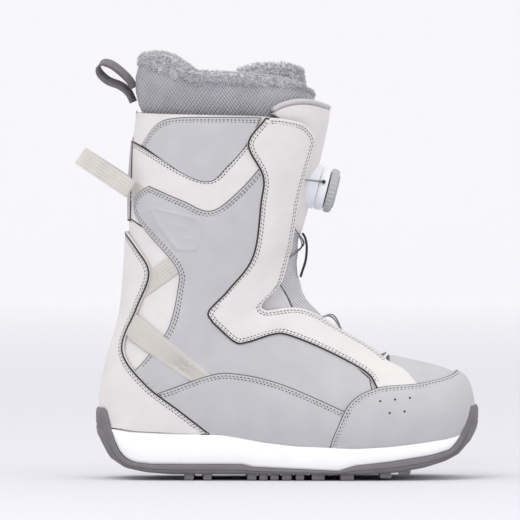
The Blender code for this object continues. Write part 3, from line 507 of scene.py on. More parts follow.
LEATHER = (("cells", 1500.0, 0.05, 0.0), ("noise", 700.0, 0.06, 0.0),
           ("noise", 90.0, 0.10, 0.0))
LOOK = {
    "grey": surface("grey_synthetic", (0.515, 0.510, 0.522), 0.56, LEATHER, 0.05),
    "beige": surface("beige_synthetic", (0.735, 0.700, 0.682), 0.52, LEATHER, 0.04),
    "badge": surface("badge_synthetic", (0.515, 0.510, 0.522), 0.50, LEATHER, 0.04),
    "edge": surface("painted_edge", (0.030, 0.030, 0.034), 0.60, (("noise", 900.0, 0.05, 0),)),
    # grey_edge_shade: the dark grey rim of the grey panels is painted shade along their edges.
    "grey_edge_shade": surface("grey_edge_shade", (0.085, 0.085, 0.09), 0.62, (("noise", 900.0, 0.05, 0),)),
    "pale_edge": surface("pale_edge", (0.42, 0.40, 0.40), 0.62, (("noise", 900.0, 0.05, 0),)),
    "thread": surface("thread", (0.56, 0.545, 0.56), 0.70, (("x", 1800.0, 0.04, 0.6),)),
    # hole_shade: dark beads at stitch holes and toe vents, painted shade of the holes.
    "hole_shade": surface("stitch_hole_shade", (0.045, 0.045, 0.05), 0.85, (("noise", 900.0, 0.05, 0),)),
    "web": surface("cream_webbing", (0.60, 0.57, 0.525), 0.80,
                   (("x", 130.0, 0.10, 0.75), ("noise", 1600.0, 0.10, 0)), 0.08, sheen=0.2),
    "mesh": surface("grey_mesh", (0.66, 0.65, 0.675), 0.80,
                    (("x", 190.0, 0.22, 0.785), ("x", 190.0, 0.22, -0.785)), 0.10,
                    groove_shade=0.35, sheen=0.2),
    "gusset": surface("grey_gusset", (0.60, 0.59, 0.61), 0.75,
                      (("noise", 900.0, 0.12, 0), ("noise", 140.0, 0.3, 0)), 0.06),
    "pink": surface("tongue_binding", (0.57, 0.535, 0.55), 0.72,
                    (("x", 420.0, 0.12, 0.9), ("noise", 1500.0, 0.06, 0)), 0.05, sheen=0.2),
    "knit": surface("grey_knit", (0.460, 0.450, 0.487), 0.85,
                    (("x", 165.0, 0.40, 0.62), ("x", 120.0, 0.30, -0.62),
                     ("noise", 1500.0, 0.15, 0)), 0.12, groove_shade=0.40, sheen=0.3),
    "fur": surface("grey_fleece", (0.59, 0.58, 0.605), 0.92,
                   (("noise", 900.0, 0.40, 0), ("noise", 260.0, 0.6, 0)), 0.12, 200.0,
                   sheen=0.5),
    "foam": surface("white_foam", (0.93, 0.93, 0.925), 0.50,
                    (("noise", 1200.0, 0.03, 0), ("noise", 60.0, 0.15, 0)), 0.02),
    "rubber": surface("taupe_rubber", (0.190, 0.178, 0.186), 0.72,
                      (("noise", 1300.0, 0.06, 0), ("noise", 120.0, 0.2, 0)), 0.12),
    "black": surface("black_nylon", (0.040, 0.040, 0.045), 0.55,
                     (("x", 500.0, 0.12, 0.0), ("noise", 1500.0, 0.08, 0)), 0.2),
    "loop": surface("taupe_tape", (0.150, 0.130, 0.136), 0.80,
                    (("y", 330.0, 0.16, 0.0), ("noise", 1500.0, 0.10, 0)), 0.10, sheen=0.2),
    "white": surface("white_plastic", (0.84, 0.86, 0.89), 0.30, (("noise", 1500.0, 0.01, 0),), 0.01),
    "grip": surface("reel_grip", (0.46, 0.46, 0.47), 0.58, (("noise", 1200.0, 0.05, 0),), 0.05),
    "steel": surface("steel_cable", (0.30, 0.30, 0.32), 0.35, (("x", 700.0, 0.08, 0.7),), 0.1,
                     metallic=0.8),
    "lining": surface("black_backing", (0.10, 0.10, 0.11), 0.85, (("noise", 900.0, 0.15, 0),), 0.1),
}


# ---- panels of the shell ---------------------------------------------------------------------
def sole_path(x_from, x_to):
    """The upper's low edge between two lengths, in that order."""
    xs = np.arange(x_from, x_to, 2.0 if x_to > x_from else -2.0)
    line = np.array(SOLE_TOP, float)
    return np.stack([xs, np.interp(xs, line[:, 0], line[:, 1])], 1)


def flip(sv):
    """The same path on the medial side."""
    other = sv.copy()
    other[:, 1] = 2 - other[:, 1]
    return other


def to_silhouette(sv, about):
    """Drops the points past the first and last ones that lie on the silhouette."""
    on_edge = np.abs(sv[:, 1] - about) < 1e-3
    first, last = 0, len(sv) - 1
    while first + 1 < len(sv) and on_edge[first] and on_edge[first + 1]:
        first += 1
    while last > 0 and on_edge[last] and on_edge[last - 1]:
        last -= 1
    result = sv[first:last + 1].copy()
    result[0, 1] = result[-1, 1] = about
    return result


def stitched(name, panel_sv, line, offset):
    """Two stitch rows just inside a panel's edge."""
    test = inset(line, 3.0, closed=False) * PLAN_SCALE
    sign = 1 if inside(test, panel_sv * PLAN_SCALE).mean() > 0.5 else -1
    return stitch_rows(name, line, offset, sign)


THREAD = [LOOK["thread"], LOOK["hole_shade"]]
EDGE_WIDTH = {"edge": 1.45, "grey_edge_shade": 0.7}


def dress(name, node_name, body, sv, low, top, look, edge_look, lines=(), amount=0.45,
          spacing=3.0, height=None, dark_path=None):
    """One panel with its stitching, standing for a CAD node."""
    materials = [LOOK[look], LOOK[edge_look]]
    item = panel(name, sv, low, top, materials, spacing, height or crown(amount),
                 edge=EDGE_WIDTH.get(edge_look, 0.5), dark_path=dark_path)
    fit(item, body, node_name)
    for k, line in enumerate(lines):
        fit(stitched("%s_stitches_%d" % (name, k), sv, line, top + STITCH_LIFT), body)


EYESTAY_TOP = [(17, 264), (10, 271.5), (-4, 275), (-18, 276)]


def quarter_outlines():
    """Side view outline of each panel that both sides of the shell have."""
    ankle = joined(smooth(ANKLE_REAR), smooth(ANKLE_TOP),
                   smooth([(-16, 245), (-10, 215), (-17, 165), (-34, 138), (-44, 125), (-34, 113),
                           (0, 114), (30, 102), (62, 76)]),
                   straight([(62, 76), (66, 60), (66, 43)]),
                   smooth([(x + 0.4, z - 1.5) for x, z in SIDE_EDGE])[::-1])
    side = joined(smooth(SIDE_EDGE), straight([(66, 42), (64, 26)]), sole_path(64, -60),
                  straight([(-60, 36), (-74, 44), (-99, 66)]))
    eyestay = joined(smooth(EYESTAY_REAR), smooth(EYESTAY_LOW), straight([(67, 68.5), (66, 63), (100, 66)]),
                     smooth([(100, 66), (97, 72), (88, 81), (76, 87)]), smooth(THROAT_FOOT)[::-1],
                     smooth(THROAT_LEG)[::-1], smooth(EYESTAY_TOP))
    collar = joined(smooth(COLLAR_EDGE), smooth([(-110, 255), (-79, 233), (-59, 227), (-46, 238),
                                                 (-32, 254), (-20, 276)]))
    rear = joined(smooth([(-124, 281), (-95, 278.8), (-30, 277.2), (-14, 276.4)]),
                  straight([(-14, 276.4), (-30, 250), (-48, 200), (-70, 150), (-80, 110), (-98, 74)]),
                  straight([(-98, 74), (-128, 80), (-150, 100)]), straight([(-150, 100), (-150, 281)]))
    band = joined(smooth(BAND_TOP), straight([(-24, 264), (-14, 235), (-30, 205), (-60, 192), (-98, 188)]),
                  smooth([(-98, 188), (-109, 192), (-118, 198)]),
                  smooth([(-118, 198), (-118.2, 230), (-116.6, 259.0)]))
    return {"ankle": ankle, "side": side, "eyestay": eyestay, "collar": collar, "rear": rear,
            "band": band}


def quarter_stitch_lines():
    """Side view lines that the double stitching follows, just inside them."""
    return {
        "ankle": joined(smooth(ANKLE_REAR)[6:], smooth(ANKLE_TOP)),
        "side": smooth(SIDE_EDGE),
        "eye_rear": joined(smooth(EYESTAY_REAR), smooth(EYESTAY_LOW)),
        "eye_front": joined(smooth(THROAT_FOOT)[::-1], smooth(THROAT_LEG)[::-1],
                            smooth(EYESTAY_TOP)),
        "collar": smooth(COLLAR_EDGE), "band": smooth(BAND_TOP),
    }


# Each panel: piece, CAD node, outline, lowest and highest offset, look, look of the rim, material
# slot, stitch lines and how much it is crowned.
QUARTERS = [
    ("rear_quarter_skin", "rear_quarter", "rear", 0.3, 1.3, "beige", "pale_edge", "beige_synthetic",
     (), 0.2),
    ("collar_skin", "collar_panel", "collar", 1.0, 2.3, "grey", "grey_edge_shade", "grey_synthetic",
     ("collar",), 0.45),
    ("cuff_band", "rear_quarter", "band", 1.0, 2.0, "beige", "edge", "beige_synthetic",
     ("band",), 0.2),
    ("ankle_skin", "ankle_quarter", "ankle", 1.2, 2.9, "grey", "grey_edge_shade", "grey_synthetic",
     ("ankle",), 0.45),
    ("side_skin", "side_panel", "side", 0.4, 4.2, "grey", "grey_edge_shade", "grey_synthetic",
     ("side",), 0.45),
    ("eyestay_skin", "eyestay", "eyestay", 0.3, 4.4, "beige", "edge", "beige_synthetic",
     ("eye_rear", "eye_front"), 0.45),
]


def build_quarters():
    """The panels of both sides, and the badge on the outer one."""
    outlines = {key: to_domain(path) for key, path in quarter_outlines().items()}
    lines = {key: to_domain(path) for key, path in quarter_stitch_lines().items()}
    eyestay_dark = joined(smooth(EYESTAY_REAR), smooth(EYESTAY_LOW))
    for which in ("lateral", "medial"):
        turn = flip if which == "medial" else (lambda sv: sv)
        for piece, cad, outline, low, top, look, rim, slot, stitched_keys, amount in QUARTERS:
            dress(piece + "_" + which, cad + "_" + which, "boot", turn(outlines[outline]), low, top,
                  look, rim, [turn(lines[key]) for key in stitched_keys], amount,
                  dark_path=eyestay_dark if outline == "eyestay" else None)
    dress("badge_skin", "ankle_badge", "boot", to_domain(badge_outline()), 2.0, 3.3, "badge", "badge",
          spacing=1.3, height=badge_motif)


def badge_outline():
    """A six-sided badge with four rounded corners."""
    return joined(straight([(-99, 208.6), (-68, 201)]), smooth([(-68, 201), (-65.4, 199.6), (-64, 197)]),
                  straight([(-64, 197), (-62, 189)]), smooth([(-62, 189), (-61.8, 186.8), (-62.8, 184.8)]),
                  straight([(-62.8, 184.8), (-68, 175.4)]),
                  smooth([(-68, 175.4), (-70, 173.6), (-73, 173.6)]),
                  straight([(-73, 173.6), (-82, 174)]), smooth([(-82, 174), (-84.4, 174.8), (-86.4, 177)]),
                  straight([(-86.4, 177), (-97, 191), (-103, 203)]),
                  smooth([(-103, 203), (-103.8, 206), (-102.4, 208.4), (-99, 208.6)]))


def badge_motif(sv, distance):
    """A plain raised frame and two sloping bars on the blank badge."""
    place = skin(sv[:, 0], sv[:, 1])[:, [0, 2]]
    frame_rib = 0.8 * np.exp(-((distance - 1.2) / 0.9) ** 2)
    above_slope = place[:, 1] + 0.28 * (place[:, 0] + 83)
    bars = sum(0.35 * np.exp(-((above_slope - z) / 1.6) ** 4) for z in (186, 194))
    return frame_rib + bars * (distance > 6.0)


TOE_CAP_TOP = 5.0
VENTS = [(70, 59), (81, 60), (92, 61), (77, 51), (88, 52)]


def build_heel():
    """The heel counter, wrapped round the back, and its stitches."""
    heel = joined(straight([(-142, 53), (-139, 44), (-138.4, 39.6)]), sole_path(-138, -59),
                  smooth(HEEL_EDGE))
    heel_sv = mirrored(to_silhouette(to_domain(heel), 0), 0)
    counter_top = 4.7
    dress("heel_counter_skin", "heel_counter", "boot", heel_sv, 1.6, counter_top, "beige", "edge")
    line = to_domain(smooth(HEEL_EDGE)[:-8])
    for label, side in (("lateral", 1), ("medial", -1)):
        rows = stitched("heel_stitches_" + label, heel_sv, line * np.array([1, side]),
                        counter_top + STITCH_LIFT)
        fit(rows, "boot")


def build_toe():
    """The toe cap, wrapped round the front, and the vamp behind it."""
    nose = np.array([(0.03, 1.0), (0.03, 0.8), (0.03, 0.55), (0.06, 0.35), (0.25, 0.2), (0.7, 0.1),
                     (1.2, 0.04)])
    toe_line = to_domain(smooth(TOE_EDGE))
    toe = np.concatenate([nose, to_domain(sole_path(130, 33)), toe_line])
    toe_sv = mirrored(to_silhouette(toe, 1), 1)
    dress("toe_cap_skin", "toe_cap", "boot", toe_sv, 0.3, TOE_CAP_TOP, "grey", "grey_edge_shade")
    keep = toe_line[toe_line[:, 1] < 0.97]
    for label, line in (("lateral", keep), ("medial", flip(keep))):
        fit(stitched("toe_stitches_" + label, toe_sv, line, TOE_CAP_TOP + STITCH_LIFT), "boot")
    tip = np.array([(2.0, 1.0), (2.0, 0.7), (2.1, 0.4), (2.6, 0.15)])
    vamp = np.concatenate([tip, to_domain(sole_path(100, 48)),
                           to_domain(smooth([(46, 26.2), (50, 55), (62, 76), (77, 88)])),
                           to_domain(straight([(77, 88), (77, 100)]))])
    dress("vamp_skin", "vamp", "boot", mirrored(to_silhouette(vamp, 1), 1), 0.3, 1.5, "grey",
          "grey_edge_shade", amount=0.6)


def build_back_stay():
    """The grey strip up the back seam of the cuff."""
    stay = joined(straight([(-126, 197), (-117.6, 197)]), straight([(-117.6, 197), (-116, 258)]),
                  straight([(-116, 258), (-126, 258)]))
    dress("back_stay_skin", "back_stay", "boot", mirrored(to_silhouette(to_domain(stay), 0), 0), 1.0,
          2.7, "grey", "edge", amount=0.2)


def build_vents():
    """Small punched holes in both sides of the toe cap, drawn as dark domes of painted shade."""
    radius = 0.95
    for which in ("lateral", "medial"):
        points, faces, slots = [], [], []
        for centre in to_domain(VENTS, which == "medial"):
            place, normal, along, _ = skin_frames(centre[:1], centre[1:])
            side = along[0] / np.linalg.norm(along[0])
            spot = place[0] + normal[0] * (TOE_CAP_TOP + 0.45)
            add_bead(points, faces, slots, spot, side * radius, np.cross(normal[0], side) * radius,
                     normal[0] * 0.15, 0)
        vents = add_object("toe_vents_" + which, mesh_from("toe_vents_" + which, points, faces, slots),
                           [LOOK["hole_shade"]])
        fit(vents, "boot")


def revolve(name, profile, materials, matrix, steps, ribs=None):
    """A turned closed shape from (radius, height) points; ribs changes the radius with the angle."""
    points, faces = [], []
    for k in range(steps):
        angle = math.tau * k / steps
        for n, (radius, height) in enumerate(profile):
            r = radius + (ribs(angle, n) if ribs else 0.0)
            points.append(tuple(matrix @ Vector((r * math.cos(angle), r * math.sin(angle), height))))
    count = len(profile)
    for k in range(steps):
        j = (k + 1) % steps
        for n in range(count):
            m = (n + 1) % count
            faces.append((k * count + n, k * count + m, j * count + m, j * count + n))
    mesh = outward_mesh(name, points, faces)
    item = add_object(name, mesh, materials)
    mesh.set_sharp_from_angle(angle=math.radians(38))
    return item


# ---- webbing, straps and tubes ---------------------------------------------------------------
RIB_PITCH = 2.4                # between the ribs that run along every strap
RIB_DEPTH = 0.28


def ribs_along(direction):
    """Height map of a woven strap whose ribs follow a side view direction."""
    across = np.array([-direction[1], direction[0]], float) / np.linalg.norm(direction)

    def height(sv, distance):
        place = skin(sv[:, 0], sv[:, 1])[:, [0, 2]]
        wave = np.cos((place @ across) * math.tau / RIB_PITCH)
        return RIB_DEPTH * wave * np.clip(distance / 1.2, 0, 1)
    return height


def build_webbing():
    """The flat straps that run over the arch, the ankle and the cuff, on both sides."""
    straps = {
        "arch_webbing": ([(-113, 125.6), (-122, 114), (-118.7, 106.5), (-72.8, 75), (-62, 74),
                          (-57, 79)], (53, -44), 3.0, 3.8),
        "ankle_webbing": ([(-88, 172.7), (-72, 175), (-72, 163), (-82.3, 157.4), (-106, 140), (-118, 132),
                           (-112, 152), (-103.4, 160)], (24, 17.4), 1.2, 2.3),
        "cuff_webbing": ([(-118.6, 230.5), (-108, 223.5), (-98, 217), (-107, 204.5), (-119, 213)],
                         (11, -7), 1.2, 2.4),
    }
    for name, (corners, direction, low, top) in straps.items():
        path = to_domain(straight(corners + corners[:1], 1.5)[:-1])
        for which in ("lateral", "medial"):
            sv = flip(path) if which == "medial" else path
            dress(name + "_skin_" + which, name + "_" + which, "boot", sv, low, top, "web", "web",
                  spacing=0.8, height=ribs_along(direction))


def sweep(name, points, profile, materials, up=(0, 1, 0)):
    """A profile of (side, up) points swept along a line, with both ends capped."""
    points = np.asarray(points, float)
    along = np.gradient(points, axis=0)
    along /= np.linalg.norm(along, axis=1)[:, None] + 1e-12
    sides = np.broadcast_to(np.array(up, float), points.shape)
    sides = sides - along * (sides * along).sum(1)[:, None]
    sides = sides / (np.linalg.norm(sides, axis=1)[:, None] + 1e-12)
    normals = np.cross(along, sides)
    count = len(profile)
    verts, faces = [], []
    for k, place in enumerate(points):
        verts += [place + sides[k] * a + normals[k] * b for a, b in profile]
    for k in range(len(points) - 1):
        for n in range(count):
            m = (n + 1) % count
            faces.append((k * count + n, k * count + m, (k + 1) * count + m, (k + 1) * count + n))
    faces.append(tuple(range(count)))
    faces.append(tuple(range(len(verts) - count, len(verts)))[::-1])
    return add_object(name, outward_mesh(name, verts, faces), materials)


def round_profile(radius, count=12, flat=1.0):
    """A round section, or an oval one whose height is flat times its width."""
    return [(radius * math.cos(math.tau * k / count), radius * flat * math.sin(math.tau * k / count))
            for k in range(count)]


def strap_profile(half, thick, ribs=0.0):
    """A flat strap's section with rounded edges and ribs that run along it."""
    across = np.linspace(-0.95, 0.95, 49 if ribs else 9)
    edge = [(half * u, thick / 2 + ribs * math.cos(half * u * math.tau / RIB_PITCH)) for u in across]
    return edge + [(half, thick * 0.2), (half, -thick * 0.2)] + [(a, -b) for a, b in edge[::-1]] + [
        (-half, -thick * 0.2), (-half, thick * 0.2)]


STRAP_LEAN = math.radians(33.5)
STRAP_ROOT = np.array([-119.0, 0, 221.0])
# Half of the rear strap's line, from its root on the cuff to the bend: reach and spread.
STRAP_LEG = [(0, 29.5), (6, 28.8), (18, 24.0), (28, 19), (37, 13), (43, 7.6), (46.2, 3.2), (47.0, 0)]
LINER_LOOP = [(-117.2, 299.0), (-121.5, 305.5), (-128.0, 311.8), (-135.0, 316.8), (-141.0, 318.0),
              (-144.3, 314.5), (-143.0, 309.5), (-137.0, 304.2), (-128.0, 300.6), (-121.8, 295.6),
              (-117.8, 288.0)]
TONGUE_LOOP = [(11.4, 187.6), (13.6, 184.0), (14.8, 177), (14.0, 167), (11.4, 158.5), (10.0, 154.0)]


def build_straps():
    """The rear pull strap and the loops on the liner and the tongue."""
    flat = [(reach, -spread) for reach, spread in STRAP_LEG] + STRAP_LEG[-2::-1]
    points = [STRAP_ROOT + np.array([-reach * math.cos(STRAP_LEAN), spread, reach * math.sin(STRAP_LEAN)])
              for reach, spread in flat]
    strap = sweep("rear_strap_weave", smooth(points, 1.0), strap_profile(7.2, 1.3, 0.16), [LOOK["web"]],
                  up=(math.sin(STRAP_LEAN), 0, math.cos(STRAP_LEAN)))
    fit(strap, "pull_strap", "rear_pull_strap")
    piece = sweep("liner_loop_tape", smooth([(x, 0, z) for x, z in LINER_LOOP], 0.8),
                  strap_profile(9.8, 2.0), [LOOK["loop"]], up=(0.12, 1, 0.24))
    fit(piece, "liner_loop", "liner_pull_loop")
    piece = sweep("tongue_loop_tape", smooth([(x, 0.8, z) for x, z in TONGUE_LOOP], 0.7),
                  strap_profile(6.4, 1.8), [LOOK["black"]])
    fit(piece, "shell_tongue", "tongue_loop")


# ---- tongue ----------------------------------------------------------------------------------
def tongue_path(points):
    """A lateral side view path that starts and ends at the front, with its medial mirror."""
    return mirrored(to_silhouette(to_domain(points), 1), 1)


def build_tongue():
    """The tongue: shield, mesh below it, binding along its top and a gusset on each side."""
    shield = joined(straight([(60, TONGUE_SPLIT), (3.8, TONGUE_SPLIT)]), smooth(TONGUE_REAR),
                    straight([(18.5, 264.5), (15.5, 266), (8.5, 270.3), (-4.5, 274.4), (-11, 278.4)]),
                    smooth(TONGUE_TOP),
                    straight([(40, 280), (60, 280)]))
    dress("tongue_shield_skin", "tongue_shield", "shell_tongue", tongue_path(shield), -5.9, -2.4, "beige",
          "pale_edge", amount=0.5)
    lower = joined(straight([(70, 110), (64.5, 97.6), (61.5, 99)]),
                   smooth([(61.5, 99), (36, 115.2), (21, 124.9), (6.3, 131.5)]),
                   smooth([(6.3, 131.5), (2.5, 140), (-5.0, 153.5), (-1.2, 168),
                           (3.7, TONGUE_SPLIT - 0.2)]),
                   straight([(3.7, TONGUE_SPLIT - 0.2), (60, TONGUE_SPLIT - 0.2)]))
    dress("tongue_mesh_skin", "tongue_lower", "shell_tongue", tongue_path(lower), -5.9, -3.0, "mesh",
          "gusset", spacing=2.2, height=folds)
    gusset = joined(straight([(-5.0, 165), (-7.6, 153.3), (0.8, 139.6), (4.6, 131.0), (4.4, 127),
                              (-24, 124), (-25, 137), (-12, 152), (-5.0, 165)]))[:-1]
    for which in ("lateral", "medial"):
        sv = to_domain(gusset)
        sv = flip(sv) if which == "medial" else sv
        item = panel("gusset_skin_" + which, sv, -5.0, -2.2, [LOOK["gusset"], LOOK["gusset"]], 2.0,
                     crown(0.9, 4.0))
        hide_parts("gusset_" + which)
        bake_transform(item)
    top = smooth(TONGUE_TOP + [(60, 276)], 1.2)
    line = tongue_path(top)
    points = at_offset(line, -4.2)
    points[:, 2] += 2.0
    piece = sweep("tongue_binding_tape", points, round_profile(2.1, 14, 1.15), [LOOK["pink"]],
                  up=(0, 0, 1))
    fit(piece, "shell_tongue", "tongue_binding")


def folds(sv, distance):
    """Soft cross folds of the lower tongue."""
    place = skin(sv[:, 0], sv[:, 1])
    run = place[:, 2] * 0.92 - place[:, 0] * 0.25 + 1.5 * np.sin(place[:, 1] / 9)
    wave = 0.9 * np.exp(-(((run % 21) - 9) / 4.2) ** 2)
    return 0.2 + wave * np.clip(distance / 6, 0, 1)


# ---- reel ------------------------------------------------------------------------------------
REEL_FOOT = Vector((21.3, 0.9, 223.2))
REEL_TILT = math.radians(14.3)
REEL_RADIUS = 16.4
KNOB_RADIUS = 17.0
KNOB_TEETH = 30


def reel_matrix():
    """Frame of the reel: its Z points forward and down, out of the tongue."""
    return Matrix.Translation(REEL_FOOT) @ Matrix.Rotation(math.pi / 2 + REEL_TILT, 4, "Y")


def build_reel():
    """The reel's foot, housing, knob and cap, all turned on one axis."""
    at = reel_matrix()
    r = REEL_RADIUS
    base = [(4.0, -6.5), (r + 2.0, -6.5), (r + 1.7, -4.5), (r + 1.0, -2.0), (r + 0.7, 0.5), (r + 0.5, 1.5),
            (r - 0.2, 2.0), (4.0, 2.0)]
    shell = [(2.2, 2.3), (r - 0.4, 2.3), (r, 2.7), (r + 0.3, 4.5), (r + 0.2, 7.6), (r - 0.2, 8.7),
             (r - 0.7, 9.0), (r - 1.6, 9.0), (r - 1.6, 3.6), (2.2, 3.6)]
    knob = [(4.0, 12.8), (4.0, 15.2), (4.4, 15.6), (13.4, 15.7), (14.0, 16.0), (14.8, 16.0), (15.6, 15.6),
            (16.5, 14.6), (KNOB_RADIUS, 13.4), (KNOB_RADIUS, 11.2), (KNOB_RADIUS - 0.3, 10.3),
            (KNOB_RADIUS - 1.0, 9.9), (14.9, 9.9), (14.9, 12.8)]
    cap = [(2.5, 15.9), (11.9, 15.9), (12.6, 16.0), (12.7, 16.4), (12.2, 16.9), (9.0, 17.1), (7.6, 16.8),
           (2.5, 16.8)]

    def grip(angle, n):
        if 6 <= n <= 10:
            return -0.75 * (0.5 - 0.5 * math.cos(angle * KNOB_TEETH)) ** 0.6
        return 0.0

    for name, profile, look, cad, body, slot, ribs in (
            ("reel_foot_dish", base, "white", "reel_base", "shell_tongue", "white_plastic", None),
            ("reel_housing_dish", shell, "white", "reel_housing", "shell_tongue", "white_plastic", None),
            ("reel_knob_grip", knob, "grip", "reel_knob", "reel_knob_body", "reel_grip", grip),
            ("reel_cap_disc", cap, "grip", "reel_cap", "reel_knob_body", "reel_grip", None)):
        item = revolve(name, profile, [LOOK[look]], at, 240 if ribs else 96, ribs)
        fit(item, body, cad)


def build_ferrules():
    """Black collars where the lace enters the reel."""
    for label, side in (("lateral", -1), ("medial", 1)):
        ends = [reel_matrix() @ Vector((-5.2, side * (REEL_RADIUS - 1.5 + out), 5.2))
                for out in (0, 1.6, 3.2)]
        collar = sweep("lace_ferrule_" + label, [tuple(end) for end in ends], round_profile(1.5, 16),
                       [LOOK["black"]], up=(0.2, 0, 1))
        fit(collar, "shell_tongue")


# ---- sole ------------------------------------------------------------------------------------
def plan_half(x):
    """Middle and half width of the sole's plan at a length x, from the upper's low edge."""
    picks = TABLE[:15]
    order = np.argsort(picks[:, 0])
    xs, widths, shifts = picks[order, 0], picks[order, 6], middle_shift(picks[order, 0])
    return np.interp(x, xs, shifts), np.interp(x, xs, widths)


def plan_loop(margin):
    """The sole's plan outline as a closed smooth loop, moved out by a margin."""
    picks = TABLE[:15]
    shift = middle_shift(picks[:, 0])
    lateral = [(x, c - w) for x, c, w in zip(picks[:, 0], shift, picks[:, 6])][::-1]
    medial = [(x, c + w) for x, c, w in zip(picks[:, 0], shift, picks[:, 6])]
    loop = np.array(lateral + medial)
    curve = smooth(np.concatenate([loop, loop[:1]]), 3.0)[:-1]
    tangent = np.roll(curve, -1, 0) - np.roll(curve, 1, 0)
    tangent /= np.linalg.norm(tangent, axis=1)[:, None]
    return curve + np.stack([tangent[:, 1], -tangent[:, 0]], 1) * margin


def band_mesh(name, rings, materials):
    """A closed band from rings of the same count; the first and last are capped across."""
    count = len(rings[0])
    faces = []
    for r in range(len(rings) - 1):
        for k in range(count):
            j = (k + 1) % count
            faces.append((r * count + k, r * count + j, (r + 1) * count + j, (r + 1) * count + k))
    for base in (0, (len(rings) - 1) * count):
        for k in range(count // 2 - 1):
            a, b = base + k, base + count - 1 - k
            faces.append((a, a + 1, b - 1, b))
        if count % 2:
            half = base + count // 2
            faces.append((half - 1, half, half + 1))
    mesh = outward_mesh(name, np.concatenate(rings), faces)
    item = add_object(name, mesh, materials)
    mesh.set_sharp_from_angle(angle=math.radians(50))
    return item


def at_line(line, x):
    """Height of a side view line at lengths x."""
    line = np.array(line, float)
    order = np.argsort(line[:, 0])
    return np.interp(x, line[order, 0], line[order, 1])


RUBBER_LIP = [(-139, 54.5), (-137, 49), (-133.5, 36), (-130, 24), (-124, 16.5), (-117, 13.4), (-104, 12),
              (-34, 12), (-27, 10), (39, 7), (51, 11), (78, 14), (110, 19), (124, 23), (130, 30),
              (133.5, 40), (138, 56)]
TREAD_BASE = [(-145, 30), (-137, 16), (-124, 9), (-108, 6), (-88, 4.6), (60, 4.6), (83, 6), (104, 9.5),
              (120, 14), (131, 19), (141, 28), (146, 38)]
TOE_FOAM_LIFT = 6.0            # hides the foam's toe end inside the rubber lip
# Rings of the two bands: how far up the band, and how far out beyond its margin.
FOAM_RINGS = ((0.0, -1.5), (0.04, -0.3), (0.12, 0.25), (0.4, 0.55), (0.7, 0.45), (0.88, 0.0),
              (0.96, -0.7), (1.0, -2.0), (1.0, -7.0))
CUP_RINGS = ((0.0, -4.5), (0.05, -2.6), (0.2, -0.6), (0.4, 0.2), (0.44, 0.25), (0.46, -0.3),
             (0.5, -0.3), (0.52, 0.3), (0.84, 0.45), (0.94, 0.1), (1.0, -0.7), (1.0, -2.6))


def sole_rings(ring_table, margin, low, top):
    """Rings of a sole band between two heights, with a rounded wall."""
    return [np.column_stack([plan_loop(margin + push), low + (top - low) * level])
            for level, push in ring_table]


def build_sole():
    """White foam in a rubber cup, with the tread's lugs below."""
    xs = plan_loop(5.4)[:, 0]
    low, top = at_line(RUBBER_LIP, xs), at_line(MIDSOLE_TOP, xs)
    into_lip = TOE_FOAM_LIFT * np.clip((xs - 131) / 7, 0, 1)
    rings = sole_rings(FOAM_RINGS, 5.2, np.minimum(low, top - 1.0) + into_lip, top + into_lip)
    fit(band_mesh("midsole_foam", rings, [LOOK["foam"]]), "boot", "midsole")
    rings = sole_rings(CUP_RINGS, 7.0, at_line(TREAD_BASE, xs), at_line(RUBBER_LIP, xs))
    fit(band_mesh("outsole_cup", rings, [LOOK["rubber"]]), "boot", "outsole")
    build_lugs()


LUGS = [(-78.5, -71.5), (-64.5, -58.5), (-31, -24.5), (-21.5, -15.5), (-12.5, -6.5), (-3.5, 3.5),
        (6.5, 12.5), (18, 27.5), (39.5, 49.5), (70, 78.5), (84.5, 93.5)]
LUG_ROWS = [(-0.96, -0.62), (-0.56, -0.06), (0.0, 0.5), (0.56, 0.96)]
LUG_FLOOR = 0.25
TOE_LUG_FLOORS = {9: 1.7, 10: 4.3}


def build_lugs():
    """Tread blocks with bevelled edges, in wavy rows across the sole."""
    points, faces = [], []
    for k, (back, front) in enumerate(LUGS):
        floor = TOE_LUG_FLOORS.get(k, LUG_FLOOR)
        for row, (a, b) in enumerate(LUG_ROWS):
            lean = 1.5 * math.sin(row * 2.1 + k)
            corners = []
            for x, side in ((back, a), (front, a), (front, b), (back, b)):
                shift, wide = plan_half(x)
                skew = lean * (0.5 if side == a else -0.5)
                corners.append((x + skew, shift + side * (wide + 5.6)))
            base = len(points)
            middle = np.mean(corners, axis=0)
            for grow, z in ((1.0, 8.5), (1.0, floor + 1.0), (0.93, floor + 0.15), (0.86, floor)):
                for corner in corners:
                    points.append((*(middle + (np.array(corner) - middle) * grow), z))
            for level in range(3):
                for n in range(4):
                    m = (n + 1) % 4
                    c = base + level * 4
                    faces.append((c + n, c + m, c + 4 + m, c + 4 + n))
            faces.append((base, base + 3, base + 2, base + 1))
            faces.append((base + 12, base + 13, base + 14, base + 15))
    mesh = outward_mesh("tread_lugs", points, faces)
    fit(add_object("tread_lugs", mesh, [LOOK["rubber"]], smooth_shade=False), "boot")


# ---- liner -----------------------------------------------------------------------------------
LINER_TOP = [(276, -107.0, 23.6, 43.2), (287, -113.4, 20.5, 47.0), (303, -115.5, 17.0, 48.0),
             (319, -113.0, 14.5, 47.0), (333, -107.5, 11.0, 44.0)]
KNIT_TOP = [(-125, 322), (-109, 318), (-87, 308), (-70, 303), (-10, 302), (6, 301), (15, 298), (19, 293),
            (40, 288)]
FUR_TOP = [(-125, 326), (-104, 328), (-90, 325), (-70, 313), (-30, 311.5), (0, 307.5), (10, 304.5),
           (17, 299), (40, 292)]


LINER_MIDDLE = 1.4             # how far the liner's middle line lies to the medial side
RING_POINTS = 120


